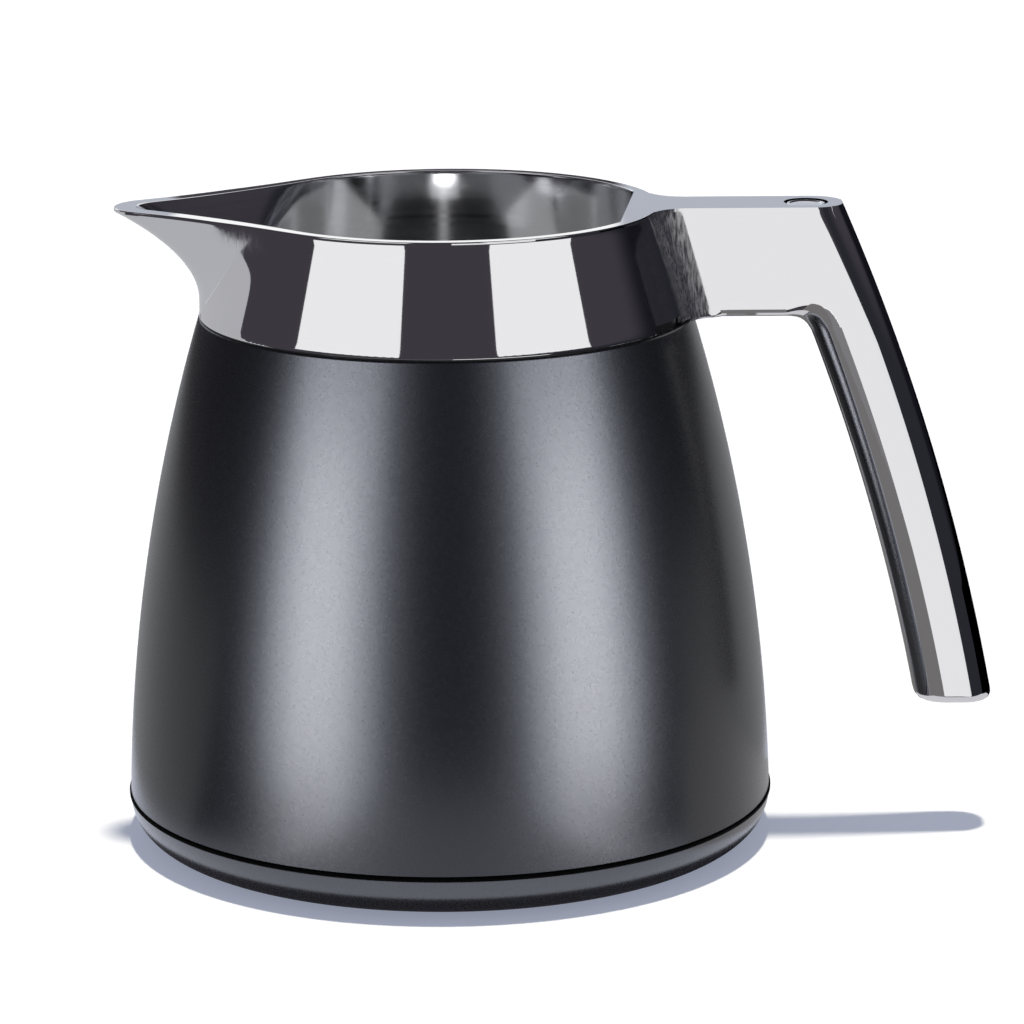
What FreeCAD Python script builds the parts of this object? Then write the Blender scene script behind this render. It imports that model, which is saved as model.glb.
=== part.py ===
import FreeCAD, Part
import math
import os
import re
import Sketcher

os.makedirs("parts", exist_ok=True)
doc = FreeCAD.newDocument("thermal_carafe")

# Driving sizes in mm and degrees, one row each in the document's spreadsheet
SIZES = {
    # Foot pad and base cap
    "pad_inset": 2.65,
    "pad_thickness": 2.0,
    "pad_proud": 0.3,
    "pad_clearance": 0.3,
    "pad_edge": 0.4,
    "cap_floor": 2.0,
    "cap_round": 9.2,
    "cap_band": 0.3,
    "cap_spigot_gap": 1.6,
    "cap_spigot_wall": 2.2,
    "base_gasket_thickness": 0.8,
    "base_gasket_proud": 0.35,
    # Outer shell, one long arc in profile
    "shell_foot_radius": 73.85,
    "shoulder_ledge": 3.8,
    "shell_height": 110.4,
    "shell_curve": 420.0,
    "shell_wall": 0.8,
    # Welded flask inside the shell
    "weld_gap": 0.1,
    "vacuum_gap": 5.0,
    "flask_wall": 0.6,
    "flask_corner": 9.0,
    "flask_dome": 3.0,
    "neck_drop": 5.5,
    "neck_flare": 7.5,
    "pan_rise": 4.0,
    "pan_wall": 0.8,
    "port_radius": 1.2,
    "port_dimple_radius": 9.0,
    "port_dimple_depth": 1.6,
    "port_bead_radius": 5.0,
    "port_bead_thickness": 1.1,
    "shield_gap": 0.3,
    "shield_thickness": 0.2,
    "shield_end_gap": 4.0,
    "getter_radius": 5.0,
    "getter_height": 2.2,
    "getter_offset": 32.0,
    "clip_sheet": 0.4,
    "clip_width": 4.0,
    "clip_foot": 2.5,
    # Neck joint between flask and casting
    "fit_gap": 0.3,
    "neck_ring_wall": 3.0,
    "neck_ring_end": 1.3,
    "neck_ring_drop": 1.6,
    "neck_seal_thickness": 1.2,
    "spigot_wall": 2.4,
    "spigot_drop": 3.5,
    "snap_ring_width": 1.5,
    "snap_ring_thickness": 1.0,
    "snap_ring_rise": 1.5,
    "snap_ring_split": 10.0,
    "snap_play": 0.1,
    "collar_gasket_thickness": 0.4,
    "collar_gasket_inset": 0.4,
    "lug_wall": 2.0,
    "lug_azimuth": 25.5,
    "window_angle": 15.0,
    "window_rise": 1.8,
    "window_play": 1.0,
    # Casting: collar, spout and handle
    "collar_height": 24.3,
    "rim_radius": 48.4,
    "rim_band": 0.8,
    "rim_wall": 2.7,
    "mouth_flat_depth": 4.5,
    "spout_length": 26.1,
    "spout_start": 3.6,
    "spout_line_inset": 0.2,
    "spout_bend": 1.95,
    "spout_tip_radius": 9.0,
    "spout_root_inset": 11.9,
    "spout_side_curve": 200.0,
    "spout_lip": 5.0,
    "channel_dip": 1.2,
    "channel_side_wall": 3.5,
    "channel_root_inset": 7.7,
    "channel_bend": 1.5,
    "cut_overrun": 1.0,
    "section_step": 0.2,
    "handle_width": 15.4,
    "arm_drop": 0.7,
    "arm_length": 41.2,
    "arm_bite": 4.0,
    "arm_edge_round": 2.0,
    "grip_slant": 35.6,
    "grip_end_height": 29.8,
    "grip_curve": 520.0,
    "grip_depth": 17.4,
    "grip_round": 6.5,
    "grip_end_round": 2.2,
    "hand_corner": 7.5,
    "root_flare": 12.0,
    "root_bite": 0.15,
    "inlay_setback": 8.2,
    "inlay_margin": 2.9,
    "inlay_thickness": 1.0,
    "inlay_dish": 0.3,
    "inlay_sink": 0.2,
    "inlay_clearance": 0.2,
    # Fastening of the base cap
    "boss_inset": 14.0,
    "boss_radius": 4.0,
    "boss_end_wall": 1.3,
    "screw_radius": 1.5,
    "screw_end_gap": 1.5,
    "screw_head_radius": 3.0,
    "screw_head_height": 1.6,
    "screw_clearance": 0.15,
}

# Levels and radii that follow from the driving sizes
DERIVED = {
    "pad_radius": "shell_foot_radius - cap_round - pad_inset",
    "cap_floor_top": "pad_thickness + cap_floor",
    "cap_top": "pad_proud + cap_round + cap_band",
    "pad_pocket": "pad_radius + pad_clearance",
    "shell_bottom": "cap_top + base_gasket_thickness",
    "shell_shoulder_radius": "ring_outside + shoulder_ledge",
    "shoulder": "shell_bottom + shell_height",
    "collar_foot": "shoulder + collar_gasket_thickness",
    "rim": "collar_foot + collar_height",
    "cone_height": "collar_height - rim_band",
    "shell_chord": "sqrt((shell_foot_radius - shell_shoulder_radius)^2 + shell_height^2)",
    "shell_apothem": "sqrt(shell_curve^2 - shell_chord^2 / 4)",
    "shell_x": "(shell_foot_radius + shell_shoulder_radius) / 2"
               " - shell_apothem * shell_height / shell_chord",
    "shell_z": "shell_bottom + shell_height / 2"
               " - shell_apothem * (shell_foot_radius - shell_shoulder_radius) / shell_chord",
    "shell_inside": "shell_curve - shell_wall",
    "flask_outside": "shell_inside - vacuum_gap",
    "flask_inside": "flask_outside - flask_wall",
    "pan_top": "shell_bottom + pan_rise",
    "pan_under": "pan_top - pan_wall",
    "flask_under": "pan_top + vacuum_gap",
    "flask_floor": "flask_under + flask_wall",
    "flask_low": "flask_under + flask_corner",
    "flask_high": "shoulder - neck_drop - neck_flare",
    "mouth_radius": "rim_radius - rim_wall",
    "mouth_flat": "mouth_radius - mouth_flat_depth",
    "spigot_radius": "mouth_radius + spigot_wall",
    "neck_inside": "spigot_radius + fit_gap",
    "neck_outside": "neck_inside + flask_wall",
    "ring_inside": "neck_outside + weld_gap",
    "ring_outside": "ring_inside + neck_ring_wall",
    "ring_top": "snap_high + neck_ring_end",
    "socket_radius": "ring_outside + fit_gap",
    "socket_top": "ring_top + neck_seal_thickness",
    "snap_inside": "(ring_outside + socket_radius - snap_ring_width) / 2",
    "snap_outside": "snap_inside + snap_ring_width",
    "snap_low": "window_top + snap_ring_rise",
    "snap_high": "snap_low + snap_ring_thickness",
    "arm_under": "collar_foot - arm_drop",
    "arm_under_radius": "shell_shoulder_radius"
                        " - (shell_shoulder_radius - rim_radius) * (arm_under - collar_foot) / cone_height",
    "window_top": "collar_foot + window_rise",
    "half_width": "handle_width / 2",
    "arm_root": "rim_radius - arm_bite",
    "arm_reach": "rim_radius + arm_length",
    "grip_reach": "arm_reach + grip_slant",
    "grip_drop": "rim - grip_end_height",
    "grip_chord": "sqrt((grip_reach - arm_reach)^2 + grip_drop^2)",
    "grip_apothem": "sqrt(grip_curve^2 - grip_chord^2 / 4)",
    "grip_x": "(grip_reach + arm_reach) / 2 - grip_apothem * grip_drop / grip_chord",
    "grip_z": "(rim + grip_end_height) / 2 - grip_apothem * (grip_reach - arm_reach) / grip_chord",
    "grip_inside": "grip_curve - grip_depth",
    "corner_x": "grip_x + sqrt((grip_inside - hand_corner)^2 - (arm_under - hand_corner - grip_z)^2)",
    "corner_share": "grip_inside / (grip_inside - hand_corner)",
    "inlay_offset": "arm_reach - inlay_setback",
    "inlay_radius": "half_width - inlay_margin",
    "inlay_seat": "rim - inlay_sink - inlay_thickness",
    "spout_reach": "rim_radius + spout_length",
    "spout_line": "shell_shoulder_radius - spout_line_inset",
    "spout_root_radius": "shell_shoulder_radius - spout_root_inset",
    "channel_start": "socket_top - channel_dip",
    "channel_depth": "rim - channel_start",
    "channel_tip_radius": "spout_tip_radius - channel_side_wall",
    "channel_root_radius": "mouth_radius - channel_root_inset",
    "boss_circle": "pad_radius - boss_inset",
    "boss_bore": "screw_radius + screw_clearance",
    "boss_bore_end": "pan_under - boss_end_wall",
    "screw_end": "boss_bore_end - screw_end_gap",
}

sheet = doc.addObject("Spreadsheet::Sheet", "Sizes")
for row, (name, size) in enumerate(SIZES.items(), 1):
    sheet.set(f"A{row}", name)
    sheet.set(f"B{row}", str(size))
    sheet.setAlias(f"B{row}", name)
doc.recompute()


def bound(text):
    """The expression text with each name written as sheet cells."""
    def spell(match):
        word = match.group()
        if word in SIZES:
            return f"Sizes.{word}"
        if word in DERIVED:
            return f"({bound(DERIVED[word])})"
        return word
    return re.sub(r"[a-z_]+\w*", spell, text)


def value(text):
    return float(sheet.evalExpression(bound(text)))


def new_sketch(body, role, name):
    plane = next(item for item in body.Origin.OriginFeatures if item.Role == role)
    sketch = body.newObject("Sketcher::SketchObject", name)
    sketch.AttachmentSupport = [(plane, "")]
    sketch.MapMode = "FlatFace"
    return sketch


def constrain(sketch, kind, places, text=None):
    """Add one constraint; a text is bound to it as an expression."""
    if text is None:
        sketch.addConstraint(Sketcher.Constraint(kind, *places))
        return
    index = sketch.addConstraint(Sketcher.Constraint(kind, *places, value(text)))
    sketch.renameConstraint(index, f"size{index}")
    sketch.setExpression(f"Constraints.size{index}", bound(text))


def arc_between(start, end, radius, side):
    """Short arc from start to end, its centre left (1) or right (-1) of the way, and its end numbers."""
    way = end - start
    half = way.Length / 2
    across = FreeCAD.Vector(-way.y, way.x, 0).normalize() * side
    centre = start + way / 2 + across * math.sqrt(radius ** 2 - half ** 2)
    begin = math.atan2(start.y - centre.y, start.x - centre.x)
    finish = math.atan2(end.y - centre.y, end.x - centre.x)
    circle = Part.Circle(centre, FreeCAD.Vector(0, 0, 1), radius)
    if side > 0:
        return Part.ArcOfCircle(circle, begin, finish), (1, 2)
    return Part.ArcOfCircle(circle, finish, begin), (2, 1)


def draw(sketch, corners):
    """Closed outline through corners (x, y) or (x, y, radius, side), the arc running to its corner."""
    points = [FreeCAD.Vector(value(corner[0]), value(corner[1]), 0) for corner in corners]
    count = len(corners)
    ends = []
    for index in range(count):
        target = (index + 1) % count
        if len(corners[target]) == 2:
            piece = Part.LineSegment(points[index], points[target])
            ends.append((1, 2))
        else:
            radius, side = corners[target][2:]
            piece, numbers = arc_between(points[index], points[target], value(radius), side)
            ends.append(numbers)
        sketch.addGeometry(piece)
    for index in range(count):
        target = (index + 1) % count
        constrain(sketch, "Coincident", (index, ends[index][1], target, ends[target][0]))
        for axis, kind, text in ((-2, "DistanceX", corners[index][0]), (-1, "DistanceY", corners[index][1])):
            if text == "0":
                constrain(sketch, "PointOnObject", (index, ends[index][0], axis))
            else:
                constrain(sketch, kind, (-1, 1, index, ends[index][0]), text)
        if len(corners[target]) == 4:
            constrain(sketch, "Radius", (index,), corners[target][2])


def turned(name, corners, angle=None):
    """Outline in the XZ plane turned about Z, all round or by an angle shared to both sides."""
    body = doc.addObject("PartDesign::Body", name)
    sketch = new_sketch(body, "XZ_Plane", name + "_outline")
    draw(sketch, corners)
    turn = body.newObject("PartDesign::Revolution", name + "_turn")
    turn.Profile = sketch
    turn.ReferenceAxis = (sketch, ["V_Axis"])
    turn.Angle = 360
    if angle:
        turn.Midplane = True
        turn.setExpression("Angle", bound(angle))
    body.Tip = turn
    return body


def padded(name, role, corners, length):
    """Outline in an origin plane padded to both sides."""
    body = doc.addObject("PartDesign::Body", name)
    sketch = new_sketch(body, role, name + "_outline")
    draw(sketch, corners)
    pad = body.newObject("PartDesign::Pad", name + "_pad")
    pad.Profile = sketch
    pad.Midplane = True
    pad.setExpression("Length", bound(length))
    body.Tip = pad
    return body


def ring(inner, outer, low, high):
    return [(inner, low), (outer, low), (outer, high), (inner, high)]


def on_arc(radius, level):
    """Distance from the axis of an arc about the shell's centre, at a level."""
    return f"shell_x + sqrt(({radius})^2 - ({level} - shell_z)^2)"


def place(body, x="0", y="0", z="0"):
    for axis, text in zip("xyz", (x, y, z)):
        body.setExpression(f"Placement.Base.{axis}", bound(text))


def boolean(kind, name, *pieces):
    """Part::Cut of two pieces, or one Part::MultiFuse of several."""
    result = doc.addObject(kind, name)
    if kind == "Part::Cut":
        result.Base, result.Tool = pieces
    else:
        result.Shapes = list(pieces)
    return result


# Base: pad, cap and gasket ring
def foot_pad():
    return turned("foot_pad", [
        ("0", "0"), ("pad_radius - pad_edge", "0"), ("pad_radius", "pad_edge"),
        ("pad_radius", "pad_thickness"), ("0", "pad_thickness")])


def screw_outline(play):
    head = f"screw_head_radius + {play}"
    shank = f"screw_radius + {play}"
    neck = "pad_thickness + screw_head_height"
    return [("0", "pad_thickness"), (head, "pad_thickness"), (shank, neck),
            (shank, "screw_end"), ("0", "screw_end")]


SCREW_ANGLES = {"a": 60, "b": 180, "c": 300}


def on_circle(body, angle):
    place(body, f"boss_circle * cos({angle})", f"boss_circle * sin({angle})")
    return body


def base_screws():
    return [on_circle(turned(f"base_screw_{mark}", screw_outline("0")), angle)
            for mark, angle in SCREW_ANGLES.items()]


def base_bosses():
    outline = [("boss_bore", "cap_floor_top"), ("boss_radius", "cap_floor_top"), ("boss_radius", "pan_under"),
               ("0", "pan_under"), ("0", "boss_bore_end"), ("boss_bore", "boss_bore_end")]
    return [on_circle(turned(f"base_boss_{mark}", outline), angle) for mark, angle in SCREW_ANGLES.items()]


PAN_EDGE = on_arc("shell_inside", "pan_top") + " - weld_gap"
CAP_SPIGOT = f"{PAN_EDGE} - pan_wall - fit_gap"


def base_cap():
    spigot_top = "pan_under - cap_spigot_gap"
    spigot_inside = f"{CAP_SPIGOT} - cap_spigot_wall"
    blank = turned("base_cap_blank", [
        ("0", "pad_thickness"), ("pad_pocket", "pad_thickness"), ("pad_pocket", "pad_proud"),
        ("shell_foot_radius - cap_round", "pad_proud"),
        ("shell_foot_radius", "pad_proud + cap_round", "cap_round", 1),
        ("shell_foot_radius", "cap_top"), (CAP_SPIGOT, "cap_top"), (CAP_SPIGOT, spigot_top),
        (spigot_inside, spigot_top), (spigot_inside, "cap_floor_top"), ("0", "cap_floor_top")])
    holes = [on_circle(turned(f"base_hole_{mark}", screw_outline("screw_clearance")), angle)
             for mark, angle in SCREW_ANGLES.items()]
    return boolean("Part::Cut", "base_cap", blank, boolean("Part::MultiFuse", "base_holes", *holes))


def base_gasket():
    return turned("base_gasket", ring(
        f"{CAP_SPIGOT} + fit_gap", "shell_foot_radius + base_gasket_proud", "cap_top", "shell_bottom"))


# Welded flask: outer shell, pan, inner wall and what lies in the vacuum
def outer_shell():
    flange = "ring_outside + weld_gap"
    return turned("outer_shell", [
        ("shell_foot_radius", "shell_bottom"), ("shell_shoulder_radius", "shoulder", "shell_curve", 1),
        (flange, "shoulder"), (flange, "shoulder - shell_wall"),
        (on_arc("shell_inside", "shoulder - shell_wall"), "shoulder - shell_wall"),
        (on_arc("shell_inside", "shell_bottom"), "shell_bottom", "shell_inside", -1)])


def bottom_pan():
    flange = f"{PAN_EDGE} - pan_wall"
    slope = "port_dimple_radius - port_dimple_depth"
    return turned("bottom_pan", [
        ("port_radius", "pan_under + port_dimple_depth"), (slope, "pan_under + port_dimple_depth"),
        ("port_dimple_radius", "pan_under"), (flange, "pan_under"), (flange, "shell_bottom"),
        (PAN_EDGE, "shell_bottom"), (PAN_EDGE, "pan_top"), ("port_dimple_radius", "pan_top"),
        (slope, "pan_top + port_dimple_depth"), ("port_radius", "pan_top + port_dimple_depth")])


def port_bead():
    seat = "pan_under + port_dimple_depth"
    stub = "port_radius - weld_gap"
    low = f"{seat} - port_bead_thickness"
    crown = "(port_bead_radius^2 + port_bead_thickness^2) / (2 * port_bead_thickness)"
    return turned("port_bead", [
        ("0", low), ("port_bead_radius", seat, crown, 1), (stub, seat),
        (stub, f"{seat} + pan_wall"), ("0", f"{seat} + pan_wall")])


def inner_wall():
    low = "flask_low + weld_gap"
    return turned("inner_wall", [
        (on_arc("flask_outside", low), low),
        (on_arc("flask_outside", "flask_high"), "flask_high", "flask_outside", 1),
        (on_arc("flask_outside", "flask_high") + " - flask_wall", "flask_high"),
        (on_arc("flask_outside", low) + " - flask_wall", low, "flask_inside", -1)])


def inner_neck():
    """Funnel from the wall's upper edge to the upright neck."""
    low = "flask_high + weld_gap"
    edge = on_arc("flask_outside", "flask_high")
    return turned("inner_neck", [
        (edge, low), ("neck_outside", "shoulder - neck_drop"), ("neck_outside", "ring_top"),
        ("neck_inside", "ring_top"), ("neck_inside", "shoulder - neck_drop"), (f"{edge} - flask_wall", low)])


def inner_bottom():
    """Pressed dish with a domed floor, its corner ending under the wall."""
    edge = on_arc("flask_outside", "flask_low")
    seam = f"{edge} - flask_corner"
    crown = f"(({seam})^2 + flask_dome^2) / (2 * flask_dome)"
    return turned("inner_bottom", [
        ("0", "flask_under + flask_dome"), (seam, "flask_under", crown, -1),
        (edge, "flask_low", "flask_corner", 1), (f"{edge} - flask_wall", "flask_low"),
        (seam, "flask_floor", "flask_corner - flask_wall", -1), ("0", "flask_floor + flask_dome", crown, 1)])


def radiation_shield():
    low = "flask_low + shield_end_gap"
    high = "flask_high - shield_end_gap"
    inside = "flask_outside + shield_gap"
    outside = f"{inside} + shield_thickness"
    return turned("radiation_shield", [
        (on_arc(inside, low), low, inside, -1), (on_arc(outside, low), low),
        (on_arc(outside, high), high, outside, 1), (on_arc(inside, high), high)])


def getter_pellet():
    pellet = cylinder("getter_pellet", "getter_radius", "pan_top", "pan_top + getter_height")
    place(pellet, "getter_offset", "0", "pan_top")
    return pellet


def getter_clip():
    """Strap over the pellet with a welded foot at each side."""
    top = "pan_top + getter_height"
    inside = "getter_radius + weld_gap"
    outside = f"{inside} + clip_sheet"
    foot = f"{outside} + clip_foot"
    half = [(inside, top), (inside, "pan_top"), (foot, "pan_top"), (foot, "pan_top + clip_sheet"),
            (outside, "pan_top + clip_sheet"), (outside, f"{top} + clip_sheet")]
    right = [(f"getter_offset + {x}", z) for x, z in half]
    left = [(f"getter_offset - ({x})", z) for x, z in reversed(half)]
    return padded("getter_clip", "XZ_Plane", right + left, "clip_width")


# Neck joint: ring, seal, snap ring, gasket and locating key
def snap_groove(wall, floor):
    """Corners of the snap ring's groove in a wall, from low to high."""
    low = "snap_low - snap_play"
    high = "snap_high + snap_play"
    return [(wall, low), (floor, low), (floor, high), (wall, high)]


def neck_ring():
    return turned("neck_ring", [
        ("ring_inside", "shoulder - neck_ring_drop"), ("ring_outside", "shoulder - neck_ring_drop"),
        *snap_groove("ring_outside", "snap_inside - snap_play"),
        ("ring_outside", "ring_top"), ("ring_inside", "ring_top")])


def neck_seal():
    return turned("neck_seal", ring("neck_inside", "ring_outside", "ring_top", "socket_top"))


def retaining_ring():
    return turned("retaining_ring", ring("-(snap_outside)", "-(snap_inside)", "snap_low", "snap_high"),
                  "360 - snap_ring_split")


def collar_gasket():
    return turned("collar_gasket", ring(
        "-(shell_shoulder_radius - collar_gasket_inset)", "-(socket_radius)", "shoulder", "collar_foot"),
        "360 - 2 * lug_azimuth - window_angle - 2 * window_play")


LUG_SIDES = {"back": 1, "front": -1}


def at_windows(name, corners, angle):
    """One turned piece in each window, either side of the handle."""
    pieces = []
    for mark, side in LUG_SIDES.items():
        piece = turned(f"{name}_{mark}", corners, angle)
        piece.Placement.Rotation.Axis = FreeCAD.Vector(0, 0, 1)
        piece.setExpression("Placement.Rotation.Angle", bound(f"{side} * lug_azimuth"))
        pieces.append(piece)
    return pieces


def locating_lugs():
    return at_windows("locating_lug", ring(
        "socket_radius", "socket_radius + lug_wall", "shoulder", "window_top - fit_gap"),
        "window_angle - 2 * window_play")


# Casting: collar with spout, arm with grip, and the cuts in them
def section(body, name, level, radius, reach, tip):
    """Teardrop at a level: round about the axis, drawn out to a tip at -X by two hollow sides."""
    sketch = new_sketch(body, "XY_Plane", name)
    sketch.setExpression("AttachmentOffset.Base.z", bound(level))
    curve = value("spout_side_curve")
    big, small = value(radius), value(tip)
    gap = value(reach) - small
    turn = math.acos(((big + curve) ** 2 + gap ** 2 - (small + curve) ** 2) / (2 * (big + curve) * gap))
    centre = FreeCAD.Vector(-math.cos(turn), math.sin(turn), 0) * (big + curve)
    to_axis = math.atan2(-centre.y, -centre.x)
    to_tip = math.atan2(-centre.y, -gap - centre.x)
    tip_centre = FreeCAD.Vector(-gap, 0, 0)
    mirrored = FreeCAD.Vector(centre.x, -centre.y, 0)
    for middle, size, begin, finish in (
            (FreeCAD.Vector(), big, turn - math.pi, math.pi - turn),
            (centre, curve, to_tip, to_axis),
            (tip_centre, small, to_tip + math.pi, math.pi - to_tip),
            (mirrored, curve, -to_axis, -to_tip)):
        circle = Part.Circle(middle, FreeCAD.Vector(0, 0, 1), size)
        sketch.addGeometry(Part.ArcOfCircle(circle, begin, finish))
    for joint in ((0, 2, 1, 2), (1, 1, 2, 1), (2, 2, 3, 2), (3, 1, 0, 1)):
        constrain(sketch, "Tangent", joint)
    constrain(sketch, "Coincident", (0, 3, -1, 1))
    constrain(sketch, "PointOnObject", (2, 3, -1))
    constrain(sketch, "DistanceX", (2, 3, -1, 1), f"{reach} - ({tip})")
    for index, text in enumerate((radius, "spout_side_curve", tip, "spout_side_curve")):
        constrain(sketch, "Radius", (index,), text)
    return sketch


def lofted(name, make_sections):
    body = doc.addObject("PartDesign::Body", name)
    sections = make_sections(body)
    loft = body.newObject("PartDesign::AdditiveLoft", name + "_loft")
    loft.Profile = sections[0]
    loft.Sections = sections[1:]
    body.Tip = loft
    return body


COLLAR_SHARES = (0, 0.15, 0.3, 0.45, 0.6, 0.8, 1)
CHANNEL_SHARES = (0, 0.15, 0.3, 0.45, 0.6, 0.8, 1, 1.05)


def collar_sections(body):
    sketches = []
    for index, share in enumerate(COLLAR_SHARES):
        radius = f"shell_shoulder_radius - (shell_shoulder_radius - rim_radius) * {share}"
        rise = f"max(0; {share} * cone_height - spout_start) / (cone_height - spout_start)"
        line = f"spout_line + (spout_reach - spout_line) * ({rise})^spout_bend"
        reach = f"max({radius} + section_step; {line})"
        tip = f"spout_tip_radius + (spout_root_radius - spout_tip_radius) * (1 - {share})^2"
        level = f"collar_foot + cone_height * {share}"
        sketches.append(section(body, f"collar_section_{index}", level, radius, reach, tip))
    return sketches


def channel_sections(body):
    sketches = []
    start = "mouth_radius + section_step"
    for index, share in enumerate(CHANNEL_SHARES):
        reach = f"{start} + (spout_reach - spout_lip - ({start})) * {share}^channel_bend"
        tip = f"channel_tip_radius + (channel_root_radius - channel_tip_radius) * (1 - {share})^2"
        level = f"channel_start + channel_depth * {share}"
        sketches.append(section(body, f"channel_section_{index}", level, "mouth_radius", reach, tip))
    return sketches


def collar_cone():
    """Lofted cone with the spout, and a short upright band at the rim."""
    body = lofted("collar_cone", collar_sections)
    top_section = body.Tip.Sections[-1][0]
    band = body.newObject("PartDesign::Pad", "rim_band_pad")
    band.Profile = top_section
    band.setExpression("Length", bound("rim_band"))
    body.Tip = band
    return body


def flare_sections(body):
    """Fillet between the collar and the arm's sides, at the arm's underside and at the rim."""
    sketches = []
    for level, radius in (("arm_under", "arm_under_radius"), ("rim", "rim_radius")):
        side = "half_width + root_flare - root_bite"
        span = f"({radius} + root_flare - root_bite)"
        x = f"sqrt({span}^2 - ({side})^2)"
        share = f"(1 - root_flare / {span})"
        at_collar = (f"{x} * {share}", f"({side}) * {share}")
        at_arm = (x, "half_width - root_bite")
        sketch = new_sketch(body, "XY_Plane", f"flare_at_{level}")
        sketch.setExpression("AttachmentOffset.Base.z", bound(level))
        draw(sketch, [(at_collar[0], f"-{at_collar[1]}"), (at_arm[0], f"-({at_arm[1]})", "root_flare", -1),
                      at_arm, (*at_collar, "root_flare", -1)])
        sketches.append(sketch)
    return sketches


def handle_side():
    return padded("handle_side", "XZ_Plane", [
        ("arm_root", "arm_under"), ("corner_x", "arm_under"),
        ("grip_x + (corner_x - grip_x) * corner_share",
         "grip_z + (arm_under - hand_corner - grip_z) * corner_share", "hand_corner", -1),
        ("grip_x + sqrt(grip_inside^2 - (grip_end_height - grip_z)^2)", "grip_end_height", "grip_inside", -1),
        ("grip_reach", "grip_end_height"), ("arm_reach", "rim", "grip_curve", 1), ("arm_root", "rim")],
        "handle_width")


def rounded(name, base, radius_of):
    """Part::Fillet of the base's edges for which radius_of gives two radii."""
    doc.recompute()
    edges = []
    for index, edge in enumerate(base.Shape.Edges, 1):
        radii = radius_of(edge)
        if radii:
            edges.append((index, *radii))
    fillet = doc.addObject("Part::Fillet", name)
    fillet.Base = base
    fillet.Edges = edges
    return fillet


def near(first, second):
    return abs(first - second) < 1e-3


# Greatest share of a wall, or of a neighbouring fillet, that a fillet takes
FILLET_SHARE = 0.45


def handle():
    """Arm and grip with soft long edges, then a softened grip end."""
    half, under = value("half_width"), value("arm_under")
    soft = min(value("grip_round"), FILLET_SHARE * value("handle_width"))
    crisp = value("arm_edge_round")
    by_curve = {value("grip_curve"): (soft, soft), value("grip_inside"): (soft, soft)}

    def long_edge(edge):
        ends = [vertex.Point for vertex in edge.Vertexes]
        if not all(near(abs(point.y), half) for point in ends) or ends[0].y * ends[1].y < 0:
            return None
        if isinstance(edge.Curve, Part.Line):
            return (crisp, crisp) if all(near(point.z, under) for point in ends) else None
        if near(edge.Curve.Radius, value("hand_corner")):
            first_is_arm = edge.valueAt(edge.FirstParameter).z > edge.valueAt(edge.LastParameter).z
            return (crisp, soft) if first_is_arm else (soft, crisp)
        return next((radii for radius, radii in by_curve.items() if near(edge.Curve.Radius, radius)), None)

    def end_edge(edge):
        level = value("grip_end_height")
        size = min(value("grip_end_round"), FILLET_SHARE * soft)
        return (size, size) if all(near(v.Point.z, level) for v in edge.Vertexes) else None

    return rounded("handle_end", rounded("handle_long", handle_side(), long_edge), end_edge)


def cylinder(name, radius, low, high):
    result = doc.addObject("Part::Cylinder", name)
    result.setExpression("Radius", bound(radius))
    result.setExpression("Height", bound(f"{high} - ({low})"))
    place(result, z=low)
    return result


def mouth_cut():
    low = "shoulder - spigot_drop - cut_overrun"
    bore = cylinder("mouth_bore", "mouth_radius", low, "channel_start + cut_overrun")
    channel = lofted("spout_channel", channel_sections)
    flat = doc.addObject("Part::Box", "mouth_flat_block")
    for side, text in (("Length", "mouth_radius"), ("Width", "2 * mouth_radius"),
                       ("Height", "collar_height + channel_depth")):
        flat.setExpression(side, bound(text))
    place(flat, "mouth_flat", "-(mouth_radius)", f"{low} - cut_overrun")
    return boolean("Part::Cut", "mouth_cut", boolean("Part::MultiFuse", "mouth_open", bore, channel), flat)


def neck_socket():
    """Room for the neck ring, its snap ring and the shell's shoulder."""
    low = "min(shoulder - spigot_drop; arm_under) - cut_overrun"
    return turned("neck_socket", [
        ("spigot_radius", low), (on_arc("shell_curve + fit_gap", low), low),
        (on_arc("shell_curve + fit_gap", "shoulder"), "collar_foot"), ("socket_radius", "collar_foot"),
        *snap_groove("socket_radius", "snap_outside + snap_play"),
        ("socket_radius", "socket_top"), ("spigot_radius", "socket_top")])


def window_cuts():
    return at_windows("window", ring(
        "ring_outside", "shell_shoulder_radius + cut_overrun", "shoulder", "window_top"), "window_angle")


def inlay_pocket():
    pocket = cylinder("inlay_pocket", "inlay_radius + inlay_clearance", "inlay_seat", "rim + cut_overrun")
    place(pocket, "inlay_offset", "0", "inlay_seat")
    return pocket


def spout_collar_handle():
    spigot = cylinder("spigot", "spigot_radius", "shoulder - spigot_drop", "collar_foot + cut_overrun")
    blank = boolean("Part::MultiFuse", "casting_blank", collar_cone(),
                    lofted("root_flares", flare_sections), handle(), spigot)
    cuts = boolean("Part::MultiFuse", "casting_cuts", mouth_cut(), neck_socket(), *window_cuts(),
                   inlay_pocket())
    return boolean("Part::Cut", "spout_collar_handle", blank, cuts)


def handle_inlay():
    top = "inlay_seat + inlay_thickness"
    dish = "(inlay_radius^2 + inlay_dish^2) / (2 * inlay_dish)"
    inlay = turned("handle_inlay", [
        ("0", "inlay_seat"), ("inlay_radius", "inlay_seat"), ("inlay_radius", top),
        ("0", f"{top} - inlay_dish", dish, -1)])
    place(inlay, "inlay_offset")
    return inlay


nodes = [
    foot_pad(), base_cap(), *base_screws(), *base_bosses(), base_gasket(),
    outer_shell(), bottom_pan(), port_bead(), inner_wall(), inner_neck(), inner_bottom(), radiation_shield(),
    getter_pellet(), getter_clip(),
    neck_ring(), neck_seal(), retaining_ring(), collar_gasket(), *locating_lugs(),
    spout_collar_handle(), handle_inlay(),
]
doc.recompute()

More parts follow.
